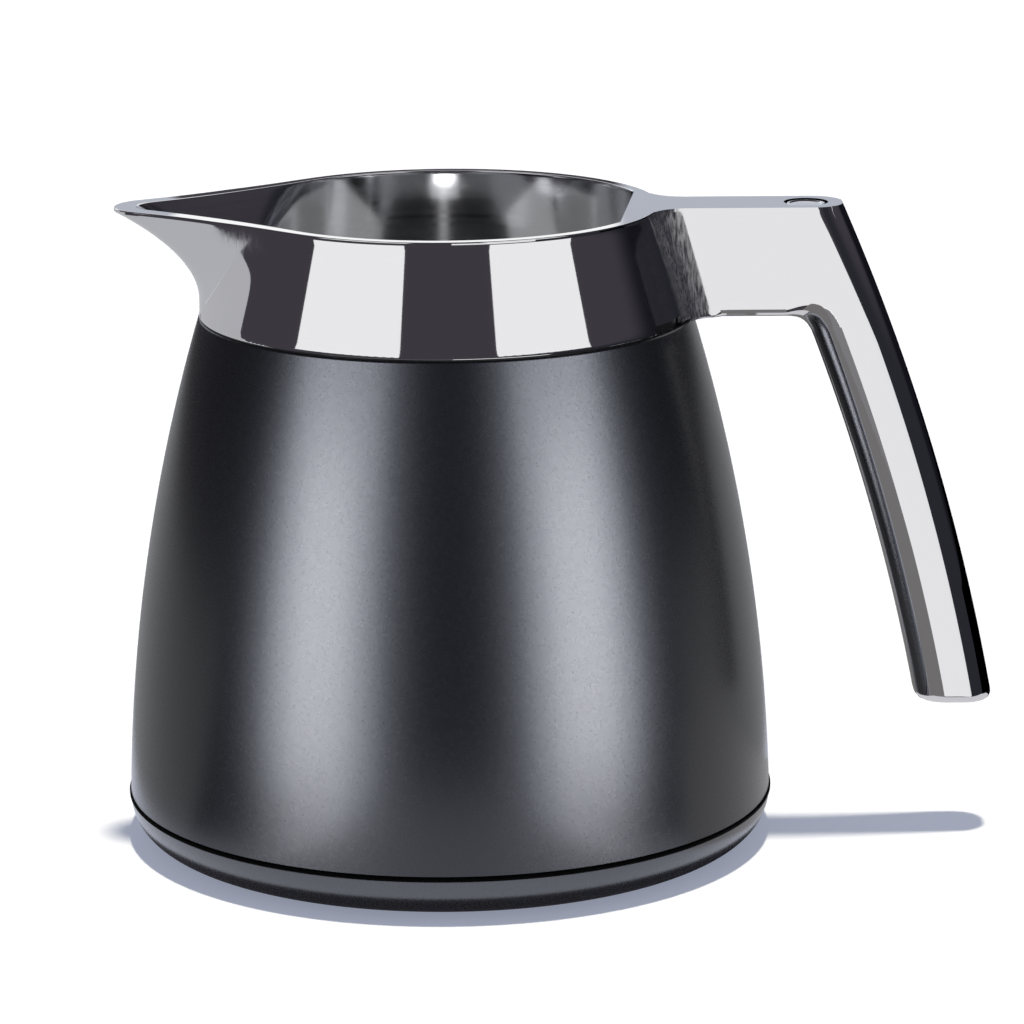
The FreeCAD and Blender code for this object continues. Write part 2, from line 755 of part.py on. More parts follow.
broken = [item.Name for item in doc.Objects if "Invalid" in item.State or "Error" in item.State]
if broken:
    raise SystemExit(f"features failed: {broken}")
for node in nodes:
    shape = node.Shape
    if shape.isNull() or not shape.isValid() or len(shape.Solids) != 1:
        raise SystemExit(f"{node.Label} is not one sound solid")
    shape.exportStep(f"parts/{node.Label}.step")
    box = shape.optimalBoundingBox(True, False)
    spans = ", ".join(f"{low:.2f} to {high:.2f}" for low, high in (
        (box.XMin, box.XMax), (box.YMin, box.YMax), (box.ZMin, box.ZMax)))
    print(f"{node.Label}: {shape.Volume / 1000:.2f} cm3, {spans}")
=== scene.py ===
import math

import bpy
from mathutils import Euler, Matrix, Vector


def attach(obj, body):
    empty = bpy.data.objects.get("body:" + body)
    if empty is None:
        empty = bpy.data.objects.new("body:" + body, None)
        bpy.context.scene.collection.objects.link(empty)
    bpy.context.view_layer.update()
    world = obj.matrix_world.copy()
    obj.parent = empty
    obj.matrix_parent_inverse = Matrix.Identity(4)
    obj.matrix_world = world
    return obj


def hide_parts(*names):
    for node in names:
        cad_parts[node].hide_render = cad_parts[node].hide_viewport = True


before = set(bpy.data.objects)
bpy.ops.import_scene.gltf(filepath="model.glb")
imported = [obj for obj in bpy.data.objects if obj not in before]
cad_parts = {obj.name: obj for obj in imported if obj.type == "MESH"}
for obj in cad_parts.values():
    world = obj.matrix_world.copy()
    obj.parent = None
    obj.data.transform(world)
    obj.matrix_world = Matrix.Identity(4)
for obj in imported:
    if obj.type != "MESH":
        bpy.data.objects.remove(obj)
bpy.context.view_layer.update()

MM = 0.001

# Driving sizes in mm and degrees, after the part's source
FIT_GAP, WELD_GAP, SHELL_WALL, LINER_WALL, VACUUM_GAP = 0.3, 0.1, 0.8, 0.6, 5.0
PAD_INSET, PAD_THICKNESS, PAD_PROUD, PAD_EDGE = 2.65, 2.0, 0.3, 0.4
CAP_FLOOR, CAP_ROUND, CAP_BAND = 2.0, 9.2, 0.3
CAP_SPIGOT_TOP, CAP_SPIGOT_OUTSIDE, CAP_SPIGOT_WALL = 12.2, 71.72, 2.2
GROOVE_HEIGHT, GROOVE_PROUD, GROOVE_DEPTH = 0.8, 0.35, 2.1
FOOT_RADIUS, SHELL_HEIGHT, SHELL_CURVE, SHOULDER_LEDGE = 73.85, 110.4, 420.0, 3.8
PAN_RISE, LINER_CORNER, LINER_DOME, NECK_DROP, NECK_FLARE = 4.0, 9.0, 3.0, 5.5, 7.5
NECK_RING_WALL, NECK_RING_RISE, NECK_SEAL = 3.0, 3.8, 1.2
SPIGOT_WALL, SPIGOT_DROP, WINDOW_MIDDLE, WINDOW_ANGLE, WINDOW_RISE = 2.4, 3.5, 25.5, 15.0, 1.8
COLLAR_GAP, COLLAR_HEIGHT, RIM_RADIUS, RIM_BAND, RIM_WALL = 0.4, 24.3, 48.4, 0.8, 2.7
SPOUT_LENGTH, SPOUT_START, SPOUT_LINE_INSET, SPOUT_BEND = 26.1, 3.6, 0.2, 1.95
SPOUT_TIP, SPOUT_ROOT_INSET, SPOUT_SIDE, SPOUT_LIP = 9.0, 11.9, 200.0, 5.0
CHANNEL_DIP, CHANNEL_SIDE_WALL, CHANNEL_ROOT_INSET, CHANNEL_BEND = 1.2, 3.5, 7.7, 1.5
HANDLE_WIDTH, ARM_DROP, ARM_LENGTH, ARM_EDGE = 15.4, 0.7, 41.2, 2.0
GRIP_SLANT, GRIP_END, GRIP_CURVE, GRIP_DEPTH = 35.6, 29.8, 520.0, 17.4
GRIP_ROUND, GRIP_END_ROUND, HAND_CORNER = 6.5, 2.2, 7.5
INLAY_SETBACK, INLAY_MARGIN, INLAY_THICKNESS, INLAY_SINK = 8.2, 2.9, 1.0, 0.2
INLAY_DISH, INLAY_CLEAR = 0.3, 0.2

# Levels that follow from them
CAP_FLOOR_TOP = PAD_THICKNESS + CAP_FLOOR
CAP_TOP = PAD_PROUD + CAP_ROUND + CAP_BAND
SHELL_BOTTOM = CAP_TOP + GROOVE_HEIGHT
SHOULDER = SHELL_BOTTOM + SHELL_HEIGHT
COLLAR_FOOT = SHOULDER + COLLAR_GAP
RIM = COLLAR_FOOT + COLLAR_HEIGHT
LINER_UNDER = SHELL_BOTTOM + PAN_RISE + VACUUM_GAP
LINER_LOW = LINER_UNDER + LINER_CORNER
NECK_LOW = SHOULDER - NECK_DROP
LINER_HIGH = NECK_LOW - NECK_FLARE
SPIGOT_LOW = SHOULDER - SPIGOT_DROP
WINDOW_TOP = COLLAR_FOOT + WINDOW_RISE
NECK_TOP = WINDOW_TOP + NECK_RING_RISE
SOCKET_TOP = NECK_TOP + NECK_SEAL
CHANNEL_START = SOCKET_TOP - CHANNEL_DIP
ARM_UNDER = COLLAR_FOOT - ARM_DROP
INLAY_TOP = RIM - INLAY_SINK
INLAY_SEAT = INLAY_TOP - INLAY_THICKNESS

# Radii and reaches that follow from them
PAD_RADIUS = FOOT_RADIUS - CAP_ROUND - PAD_INSET
PAD_POCKET = PAD_RADIUS + FIT_GAP
CAP_SPIGOT_INSIDE = CAP_SPIGOT_OUTSIDE - CAP_SPIGOT_WALL
GROOVE_RADIUS = FOOT_RADIUS + GROOVE_PROUD
GROOVE_INSIDE = GROOVE_RADIUS - GROOVE_DEPTH
MOUTH_RADIUS = RIM_RADIUS - RIM_WALL
SPIGOT_RADIUS = MOUTH_RADIUS + SPIGOT_WALL
NECK_INSIDE = SPIGOT_RADIUS + FIT_GAP
NECK_OUTSIDE = NECK_INSIDE + LINER_WALL
NECK_RING = NECK_OUTSIDE + WELD_GAP + NECK_RING_WALL
FLANGE_RADIUS = NECK_RING + WELD_GAP
SOCKET_RADIUS = NECK_RING + FIT_GAP
SHOULDER_RADIUS = NECK_RING + SHOULDER_LEDGE
SPOUT_REACH = RIM_RADIUS + SPOUT_LENGTH
SPOUT_LINE = SHOULDER_RADIUS - SPOUT_LINE_INSET
SPOUT_ROOT = SHOULDER_RADIUS - SPOUT_ROOT_INSET
CHANNEL_REACH = SPOUT_REACH - SPOUT_LIP
CHANNEL_TIP = SPOUT_TIP - CHANNEL_SIDE_WALL
CHANNEL_ROOT = MOUTH_RADIUS - CHANNEL_ROOT_INSET
HALF_WIDTH = HANDLE_WIDTH / 2
ARM_REACH = RIM_RADIUS + ARM_LENGTH
GRIP_REACH = ARM_REACH + GRIP_SLANT
INLAY_OFFSET = ARM_REACH - INLAY_SETBACK
INLAY_RADIUS = HALF_WIDTH - INLAY_MARGIN

# What only this script has, in mm: forms nearer to the photograph, small edges, trims and spare lengths
MOUTH_FLAT, MOUTH_TURN, ROOT_FLARE = 41.1, math.radians(5.9), 8.4
AXIS = 0.0005  # radius of a ring drawn at the axis, which settle() closes to a point
SEAM, NEARLY = 0.002, 0.01  # points and lengths nearer than these count as one
SHELL_EDGE, SHELL_LIP, SHELL_GUARD, SHELL_CLEAR = 0.25, 0.75, 0.15, 0.3
CAP_EDGE, GROOVE_EDGE, COLLAR_EDGE, RIM_EDGE, FOOT_EDGE = 0.25, 0.2, 0.3, 0.3, 0.2
PAD_RINGS, PAD_RING_TOP, PAD_RING_FLOOR, PAD_RING_DEPTH = (18.0, 30.0, 42.0, 54.0), 1.2, 0.7, 0.5
INLAY_RING, INLAY_EDGE, INLAY_RIM, INLAY_SLOPE, INLAY_CROWN = 0.4, 0.25, 0.7, 0.2, 0.12
CUTTER_PAST, SPIGOT_SPARE, TOP_SPARE, WINDOW_PAST, WINDOW_OUT = 3.0, 1.0, 2.0, 1.0, 6.0


# Modelling: rings, lofted grids, cuts and edges
def deselect():
    bpy.ops.object.select_all(action="DESELECT")


def pick(piece):
    deselect()
    piece.select_set(True)
    bpy.context.view_layer.objects.active = piece


def settle(name):
    """Name the new piece, close its seams, turn its faces outwards and set its place in its mesh."""
    bpy.ops.mesh.select_all(action="SELECT")
    bpy.ops.mesh.remove_doubles(threshold=SEAM * MM)
    bpy.ops.mesh.normals_make_consistent(inside=False)
    bpy.ops.object.mode_set(mode="OBJECT")
    piece = bpy.context.object
    piece.name = piece.data.name = name
    bpy.ops.object.transform_apply(location=True, rotation=True, scale=True)
    return piece


def smooth(piece, angle=38):
    pick(piece)
    bpy.ops.object.shade_smooth_by_angle(angle=math.radians(angle))


def lathe(name, profile, around=240):
    """A circle drawn through the profile's (radius, height) points by extruding and scaling.

    A profile that starts at the axis also ends there; any other goes back to its first point."""
    deselect()
    radius, height = profile[0]
    bpy.ops.mesh.primitive_circle_add(vertices=around, radius=radius * MM, location=(0, 0, height * MM),
                                      enter_editmode=True)
    rest = profile[1:] if radius <= AXIS else profile[1:] + profile[:1]
    for next_radius, next_height in rest:
        rise = (next_height - height) * MM
        bpy.ops.mesh.extrude_edges_move(TRANSFORM_OT_translate={"value": (0, 0, rise)})
        scale = next_radius / radius
        bpy.ops.transform.resize(value=(scale, scale, 1))
        radius, height = next_radius, next_height
    piece = settle(name)
    smooth(piece)
    return piece


def spread(first, last, count):
    return [first + (last - first) * step / (count - 1) for step in range(count)]


def clamp(value):
    return min(1.0, max(0.0, value))


def arc(centre, radius, start, end, steps):
    """Points (radius, height) on a circle in the profile plane, angles in degrees."""
    points = []
    for step in range(steps + 1):
        turn = math.radians(start + (end - start) * step / steps)
        points.append((centre[0] + radius * math.cos(turn), centre[1] + radius * math.sin(turn)))
    return points


def bow_centre(low, high, radius):
    """Centre, on the axis side, of an arc through a low and a high point, each (distance, height)."""
    out, rise = low[0] - high[0], high[1] - low[1]
    chord = math.hypot(out, rise)
    apothem = math.sqrt(radius ** 2 - chord ** 2 / 4)
    return (low[0] + high[0]) / 2 - apothem * rise / chord, (low[1] + high[1]) / 2 - apothem * out / chord


def loft(name, columns):
    """A grid laid on columns of points in mm; where it goes round, its ends lie on each other."""
    deselect()
    bpy.ops.mesh.primitive_grid_add(x_subdivisions=len(columns[0]) - 1, y_subdivisions=len(columns) - 1,
                                    size=1, enter_editmode=False)
    mesh = bpy.context.object.data
    flat = [value * MM for column in columns for point in column for value in point]
    mesh.vertices.foreach_set("co", flat)
    mesh.update()
    bpy.ops.object.mode_set(mode="EDIT")
    return settle(name)


def apply(piece, kind, **settings):
    pick(piece)
    modifier = piece.modifiers.new(kind.lower(), kind)
    for key, value in settings.items():
        setattr(modifier, key, value)
    bpy.ops.object.modifier_apply(modifier=modifier.name)


def cut(piece, cutter, operation="DIFFERENCE"):
    """Boolean by a cutter, whose finish stays on the faces that it makes."""
    apply(piece, "BOOLEAN", operation=operation, object=cutter, solver="EXACT", material_mode="TRANSFER")
    bpy.data.objects.remove(cutter)


def slice_off(piece, point, normal):
    """Cut the piece by a plane, drop what lies past it and fill the cut."""
    pick(piece)
    bpy.ops.object.mode_set(mode="EDIT")
    bpy.ops.mesh.select_all(action="SELECT")
    bpy.ops.mesh.bisect(plane_co=[value * MM for value in point], plane_no=normal, use_fill=True,
                        clear_outer=True, threshold=1e-6)
    bpy.ops.object.mode_set(mode="OBJECT")


def close_ends(piece):
    """Fill the open ends of a piece with flat faces."""
    pick(piece)
    bpy.ops.object.mode_set(mode="EDIT")
    bpy.ops.mesh.select_mode(type="EDGE")
    bpy.ops.mesh.select_all(action="DESELECT")
    bpy.ops.mesh.select_non_manifold()
    bpy.ops.mesh.fill_holes(sides=0)
    bpy.ops.mesh.select_mode(type="VERT")
    return settle(piece.name)


def soften(piece, level, width, steps, wanted):
    """Bevel the wanted edges round the flat faces at a level; wanted takes an edge's middle in mm."""
    pick(piece)
    mesh = piece.data
    beside = {}
    for face in mesh.polygons:
        at_level = abs(face.normal.z) > 0.999 and abs(face.center.z - level * MM) < 1e-6
        for key in face.edge_keys:
            beside.setdefault(key, []).append(at_level)
    for item in (mesh.polygons, mesh.vertices):
        item.foreach_set("select", [False] * len(item))
    for edge in mesh.edges:
        start, end = (mesh.vertices[index].co for index in edge.vertices)
        edge.select = sorted(beside.get(edge.key, [])) == [False, True] and wanted((start + end) / (2 * MM))
    bpy.context.tool_settings.mesh_select_mode = (False, True, False)
    bpy.ops.object.mode_set(mode="EDIT")
    bpy.ops.mesh.bevel(offset=width * MM, segments=steps, profile=0.5, affect="EDGES", clamp_overlap=False)
    bpy.ops.object.mode_set(mode="OBJECT")
    bpy.context.tool_settings.mesh_select_mode = (True, False, False)


def give(piece, *finishes):
    for material in finishes:
        piece.data.materials.append(material)
    return piece


# Body curve of the shell, about its far centre
SHELL_X, SHELL_Z = bow_centre((FOOT_RADIUS, SHELL_BOTTOM), (SHOULDER_RADIUS, SHOULDER), SHELL_CURVE)


def on_shell(inset, height):
    return SHELL_X + math.sqrt((SHELL_CURVE - inset) ** 2 - (height - SHELL_Z) ** 2)


def along_shell(inset, low, high, steps):
    return [(on_shell(inset, height), height) for height in spread(low, high, steps + 1)]


def shell_skin():
    """Painted wall; a guard ring close under its top edge keeps the shading of the edge off the wall."""
    low = [(FOOT_RADIUS - SHELL_LIP, SHELL_BOTTOM), (FOOT_RADIUS - SHELL_EDGE, SHELL_BOTTOM)]
    outside = along_shell(0, SHELL_BOTTOM + SHELL_EDGE, SHOULDER - SHELL_EDGE - SHELL_GUARD, 56)
    outside.append((on_shell(0, SHOULDER - SHELL_EDGE), SHOULDER - SHELL_EDGE))
    top = [(SHOULDER_RADIUS - SHELL_EDGE, SHOULDER), (FLANGE_RADIUS, SHOULDER),
           (FLANGE_RADIUS, SHOULDER - SHELL_WALL)]
    inside = along_shell(SHELL_WALL, SHOULDER - SHELL_WALL, SHELL_BOTTOM, 20)
    return lathe("shell_skin", low + outside + top + inside[:-1])


def base_cup():
    outer = arc((FOOT_RADIUS - CAP_ROUND, PAD_PROUD + CAP_ROUND), CAP_ROUND, -90, 0, 22)
    edge = arc((FOOT_RADIUS - CAP_EDGE, CAP_TOP - CAP_EDGE), CAP_EDGE, 0, 90, 4)
    return lathe("base_cup", [
        (AXIS, PAD_THICKNESS), (PAD_POCKET, PAD_THICKNESS), (PAD_POCKET, PAD_PROUD), *outer, *edge,
        (CAP_SPIGOT_OUTSIDE, CAP_TOP), (CAP_SPIGOT_OUTSIDE, CAP_SPIGOT_TOP),
        (CAP_SPIGOT_INSIDE, CAP_SPIGOT_TOP), (CAP_SPIGOT_INSIDE, CAP_FLOOR_TOP), (AXIS, CAP_FLOOR_TOP)])


def groove_ring():
    low, high, edge = CAP_TOP, SHELL_BOTTOM, GROOVE_RADIUS - GROOVE_EDGE
    return lathe("groove_ring", [
        (GROOVE_INSIDE, low), (edge, low), *arc((edge, low + GROOVE_EDGE), GROOVE_EDGE, -90, 0, 3)[1:],
        *arc((edge, high - GROOVE_EDGE), GROOVE_EDGE, 0, 90, 3), (GROOVE_INSIDE, high)])


def rest_pad():
    """Pad with a rounded edge and shallow rings pressed into its underside."""
    under = [(AXIS, 0.0)]
    for middle in PAD_RINGS:
        under += [(middle - PAD_RING_TOP, 0.0), (middle - PAD_RING_FLOOR, PAD_RING_DEPTH),
                  (middle + PAD_RING_FLOOR, PAD_RING_DEPTH), (middle + PAD_RING_TOP, 0.0)]
    return lathe("rest_pad", under + [
        (PAD_RADIUS - PAD_EDGE, 0.0), *arc((PAD_RADIUS - PAD_EDGE, PAD_EDGE), PAD_EDGE, -90, 0, 3)[1:],
        (PAD_RADIUS, PAD_THICKNESS), (AXIS, PAD_THICKNESS)])


def liner_wall():
    gap, low = SHELL_WALL + VACUUM_GAP, LINER_LOW + WELD_GAP
    outside = along_shell(gap, low, LINER_HIGH, 30)
    inside = along_shell(gap, LINER_HIGH, low, 30)
    return lathe("liner_wall", outside + [(radius - LINER_WALL, height) for radius, height in inside])


def liner_neck():
    edge, low = on_shell(SHELL_WALL + VACUUM_GAP, LINER_HIGH), LINER_HIGH + WELD_GAP
    return lathe("liner_neck", [
        (edge, low), (NECK_OUTSIDE, NECK_LOW), (NECK_OUTSIDE, NECK_TOP), (NECK_INSIDE, NECK_TOP),
        (NECK_INSIDE, NECK_LOW), (edge - LINER_WALL, low)])


def liner_dish():
    """Dished bottom with a rounded corner."""
    seam = on_shell(SHELL_WALL + VACUUM_GAP, LINER_LOW) - LINER_CORNER
    rise = [(AXIS, LINER_UNDER + LINER_DOME)]
    for share in (0.2, 0.4, 0.6, 0.8):
        rise.append((seam * share, LINER_UNDER + LINER_DOME * (1 - share ** 2)))
    corner = arc((seam, LINER_LOW), LINER_CORNER, -90, 0, 10)
    inner = arc((seam, LINER_LOW), LINER_CORNER - LINER_WALL, 0, -90, 10)
    back = [(radius, height + LINER_WALL) for radius, height in reversed(rise)]
    return lathe("liner_dish", rise + corner + inner + back)


# Casting: a half of its outside as one grid from the spout's tip to the grip's end, then mirrored and cut
CONE_TOP = RIM - RIM_BAND
CONE_HEIGHT = CONE_TOP - COLLAR_FOOT
ABOVE = 3.0  # how far over the rim the half is drawn before it is sliced
BLEND, BLEND_START, BLEND_GROWTH = 8.0, 12, 10
BLEND_WEIGHTS = {-2: 1, -1: 2, 0: 3, 1: 2, 2: 1}
WALL_SHARES = spread(0, 1, 22)
TOP_LEVELS = [RIM - 0.5, RIM - 0.25, RIM, RIM + 1.3, RIM + ABOVE]
EDGE_TURNS = spread(0, math.pi / 2, 6)
ROUND_TURNS = spread(0, math.pi / 2, 11)
TIP_TURN, FLANK_TURN, FLARE_GAP = math.radians(9), math.radians(52), 0.008
CHANNEL_TIP_TURN, CHANNEL_TURN = math.radians(10), math.radians(56)
ARM_WIDEST, ARM_START = SHOULDER_RADIUS + 0.2, 1.2
CORNER_GROWTH = 0.7  # share of the hand corner on which the inner edge grows to the grip's
RAY_START = 100.0  # how far before the grip's middle its sections' rays start
NEARLY_LEVEL = 0.05
RIM_SOFT_END = 47.0  # the rim's edge is softened as far as the arm
FOOT_NEAR, FOOT_FAR = SHOULDER_RADIUS - 0.3, SHOULDER_RADIUS + 0.1  # round the collar's outer foot edge


def teardrop(turn, round_radius, reach, tip):
    """Distance from the axis of the spout's outline; turn is measured from the spout."""
    gap = reach - tip
    if gap <= 0 or reach <= round_radius + NEARLY / 2:
        return round_radius
    big, small = round_radius + SPOUT_SIDE, tip + SPOUT_SIDE
    corner = math.acos((big ** 2 + gap ** 2 - small ** 2) / (2 * big * gap))
    if turn >= corner:
        return round_radius
    side_x, side_y = big * math.cos(corner), big * math.sin(corner)
    touch_x = gap + (side_x - gap) * tip / small
    touch_y = side_y * tip / small
    ray_x, ray_y = math.cos(turn), math.sin(turn)
    if turn <= math.atan2(touch_y, touch_x):
        along = gap * ray_x
        return along + math.sqrt(tip ** 2 - gap ** 2 + along ** 2)
    along = side_x * ray_x + side_y * ray_y
    return along - math.sqrt(SPOUT_SIDE ** 2 - big ** 2 + along ** 2)


def collar_outline(turn, height):
    """Distance from the axis of the collar's outside at a height, with flanks that run in softly."""
    share = clamp((height - COLLAR_FOOT) / CONE_HEIGHT)
    radius = SHOULDER_RADIUS - (SHOULDER_RADIUS - RIM_RADIUS) * share
    rise = max(0.0, share * CONE_HEIGHT - SPOUT_START) / (CONE_HEIGHT - SPOUT_START)
    reach = max(radius + NEARLY, SPOUT_LINE + (SPOUT_REACH - SPOUT_LINE) * rise ** SPOUT_BEND)
    tip = SPOUT_TIP + (SPOUT_ROOT - SPOUT_TIP) * (1 - share) ** 2
    blend = math.radians(BLEND) * clamp((math.degrees(turn) - BLEND_START) / BLEND_GROWTH)
    total = 0.0
    for step, weight in BLEND_WEIGHTS.items():
        total += weight * teardrop(turn + blend * step / 2, radius, reach, tip)
    return total / sum(BLEND_WEIGHTS.values())


def mouth_outline(turn, height):
    """Distance from the axis of the mouth and the pouring channel at a height."""
    facing = math.cos(turn - math.pi + MOUTH_TURN)
    if facing * MOUTH_RADIUS > MOUTH_FLAT:
        return MOUTH_FLAT / facing
    turn = min(turn, 2 * math.pi - turn)
    share = clamp((height - CHANNEL_START) / (RIM - CHANNEL_START))
    reach = MOUTH_RADIUS + NEARLY + (CHANNEL_REACH - MOUTH_RADIUS) * share ** CHANNEL_BEND
    tip = CHANNEL_TIP + (CHANNEL_ROOT - CHANNEL_TIP) * (1 - share) ** 2
    return teardrop(turn, MOUTH_RADIUS, reach, tip)


def upright_column(place, edge):
    """One section of collar or arm: place(height) gives x and y, and its ends run in to the middle plane."""
    column = [(place(ARM_UNDER)[0], 0, ARM_UNDER)]
    for turn in EDGE_TURNS[:-1]:
        height = ARM_UNDER + edge * (1 - math.cos(turn))
        x, y = place(height)
        inward = edge * (1 - math.sin(turn))
        size = math.hypot(x, y) if abs(y) > HALF_WIDTH + NEARLY else 0
        shift = (x * inward / size, y * inward / size) if size else (0, -inward)
        column.append((x - shift[0], y - shift[1], height))
    low = ARM_UNDER + edge
    for height in [low + (CONE_TOP - low) * share for share in WALL_SHARES] + TOP_LEVELS:
        column.append((*place(height), height))
    top_x, top_y = place(RIM + ABOVE)
    for turn in ROUND_TURNS[1:]:
        narrowed = (HALF_WIDTH - GRIP_ROUND * (1 - math.cos(turn))) / HALF_WIDTH
        column.append((top_x, top_y * narrowed, RIM + ABOVE))
    column.append((top_x, 0, RIM + ABOVE))
    return column


def collar_columns():
    """Columns at turns about the axis, close together round the spout's tip."""
    flare = math.asin((HALF_WIDTH + ROOT_FLARE) / (RIM_RADIUS + ROOT_FLARE))
    turns = spread(0, TIP_TURN, 13)[:-1] + spread(TIP_TURN, FLANK_TURN, 30)[:-1]
    turns += spread(FLANK_TURN, math.pi - flare - FLARE_GAP, 58)
    columns = []
    for turn in turns:
        def place(height, turn=turn):
            reach = collar_outline(turn, height)
            return -reach * math.cos(turn), -reach * math.sin(turn)
        columns.append(upright_column(place, COLLAR_EDGE))
    return columns


def flare_columns():
    """Columns round the hollow curve where the collar runs out into the arm."""
    columns = []
    for share in spread(0, 1, 19)[1:]:
        def place(height, share=share):
            fall = (min(height, CONE_TOP) - COLLAR_FOOT) / CONE_HEIGHT
            radius = SHOULDER_RADIUS - (SHOULDER_RADIUS - RIM_RADIUS) * fall
            across = HALF_WIDTH + ROOT_FLARE
            x = math.sqrt((radius + ROOT_FLARE) ** 2 - across ** 2)
            start = math.atan2(across, x) + math.pi
            turn = start + (1.5 * math.pi - start) * share
            return x + ROOT_FLARE * math.cos(turn), -(across + ROOT_FLARE * math.sin(turn))
        columns.append(upright_column(place, COLLAR_EDGE + (ARM_EDGE - COLLAR_EDGE) * share ** 2))
    return columns


# Grip's back curve and the centre of the hand corner
GRIP_X, GRIP_Z = bow_centre((GRIP_REACH, GRIP_END), (ARM_REACH, RIM), GRIP_CURVE)
GRIP_INSIDE, GRIP_MIDDLE = GRIP_CURVE - GRIP_DEPTH, GRIP_CURVE - GRIP_DEPTH / 2
CORNER_Z = ARM_UNDER - HAND_CORNER
CORNER_X = GRIP_X + math.sqrt((GRIP_INSIDE - HAND_CORNER) ** 2 - (CORNER_Z - GRIP_Z) ** 2)


def crossing(start, turn, centre, radius):
    """Way along a ray from start, in the middle plane, to its far crossing with a circle."""
    to_x, to_z = start[0] - centre[0], start[1] - centre[1]
    middle = to_x * math.cos(turn) + to_z * math.sin(turn)
    return -middle + math.sqrt(max(0.0, middle ** 2 + radius ** 2 - to_x ** 2 - to_z ** 2))


def handle_column(start, turn, inner, edge, inset=0.0):
    """Section of the handle in the plane of a ray: inner(depth) is the way to the inner face.

    The section runs from there to the back or to above the arm; an inset draws it in all round."""
    def at(along, y):
        return start[0] + along * math.cos(turn), y, start[1] + along * math.sin(turn)

    def reach(depth):
        back = crossing(start, turn, (GRIP_X, GRIP_Z), GRIP_CURVE - inset - depth)
        if math.sin(turn) < NEARLY_LEVEL:
            return back
        return min(back, (RIM + ABOVE - start[1]) / math.sin(turn))

    wide, edge, round_edge = HALF_WIDTH - inset, edge - inset, GRIP_ROUND - inset
    column = [at(inner(inset), 0)]
    for edge_turn in EDGE_TURNS[:-1]:
        column.append(at(inner(inset + edge * (1 - math.cos(edge_turn))),
                         -(wide - edge * (1 - math.sin(edge_turn)))))
    low, high = inner(inset + edge), reach(round_edge)
    for along in spread(low, high, len(WALL_SHARES) + len(TOP_LEVELS)):
        column.append(at(along, -wide))
    for round_turn in ROUND_TURNS[1:]:
        column.append(at(reach(round_edge * (1 - math.sin(round_turn))),
                         -(wide - round_edge * (1 - math.cos(round_turn)))))
    column.append(at(reach(0), 0))
    return column


def grip_column(height, turn, inset=0.0):
    """Section of the grip at a height of its middle line."""
    start = (GRIP_X + math.sqrt(GRIP_MIDDLE ** 2 - (height - GRIP_Z) ** 2) - RAY_START * math.cos(turn),
             height - RAY_START * math.sin(turn))

    def inner(depth):
        return crossing(start, turn, (GRIP_X, GRIP_Z), GRIP_INSIDE + depth)
    return handle_column(start, turn, inner, GRIP_ROUND, inset)


def handle_columns():
    """Arm, the fan round the hand corner, and the grip down to its rounded end."""
    columns = []
    flare_x = math.sqrt((ARM_WIDEST + ROOT_FLARE) ** 2 - (HALF_WIDTH + ROOT_FLARE) ** 2)
    for x in spread(flare_x + ARM_START, CORNER_X, 8)[:-1]:
        columns.append(upright_column(lambda height, x=x: (x, -HALF_WIDTH), ARM_EDGE))
    last = math.atan2(CORNER_Z - GRIP_Z, CORNER_X - GRIP_X)
    for share in spread(0, 1, 91):
        turn = math.pi / 2 + (last - math.pi / 2) * share
        growth = min(1.0, share / CORNER_GROWTH)
        edge = ARM_EDGE + (GRIP_ROUND - ARM_EDGE) * growth * growth * (3 - 2 * growth)
        columns.append(handle_column((CORNER_X, CORNER_Z), turn, lambda depth: HAND_CORNER + depth, edge))
    first = GRIP_Z + GRIP_MIDDLE * math.sin(last)
    for share in spread(0, 1, 36)[1:]:
        columns.append(grip_column(first + (GRIP_END + GRIP_END_ROUND - first) * share, last * (1 - share)))
    for turn in spread(0, math.pi / 2, 8)[1:]:
        columns.append(grip_column(GRIP_END + GRIP_END_ROUND * (1 - math.sin(turn)), 0.0,
                                   GRIP_END_ROUND * (1 - math.cos(turn))))
    return columns


def mouth_cutter():
    """Bore, flat at the handle's side and pouring channel as one closed shape."""
    corner = math.acos(MOUTH_FLAT / MOUTH_RADIUS)
    near, far = math.pi - MOUTH_TURN - corner, math.pi - MOUTH_TURN + corner
    channel = spread(0, CHANNEL_TIP_TURN, 14)[:-1] + spread(CHANNEL_TIP_TURN, CHANNEL_TURN, 30)
    back = [2 * math.pi - turn for turn in reversed(channel)]
    turns = channel[:-1] + spread(channel[-1], near, 50)[:-1] + spread(near, far, 20)
    turns += spread(far, back[0], 50)[1:] + back[1:]
    levels = spread(SPIGOT_LOW - CUTTER_PAST, CHANNEL_START, 5) + spread(CHANNEL_START, RIM, 22)[1:]
    levels.append(RIM + 2 * CUTTER_PAST)
    columns = []
    for turn in turns:
        column = [(0, 0, levels[0])]
        for level in levels:
            reach = mouth_outline(turn, level)
            column.append((-reach * math.cos(turn), -reach * math.sin(turn), level))
        columns.append(column + [(0, 0, levels[-1])])
    return loft("mouth_cutter", columns)


def spigot():
    """Plug under the collar that reaches into the flask's neck; the socket cutter trims it to size."""
    radius, top = SPIGOT_RADIUS + SPIGOT_SPARE, SOCKET_TOP + TOP_SPARE
    return lathe("spigot", [(AXIS, SPIGOT_LOW), (radius, SPIGOT_LOW), (radius, top), (AXIS, top)])


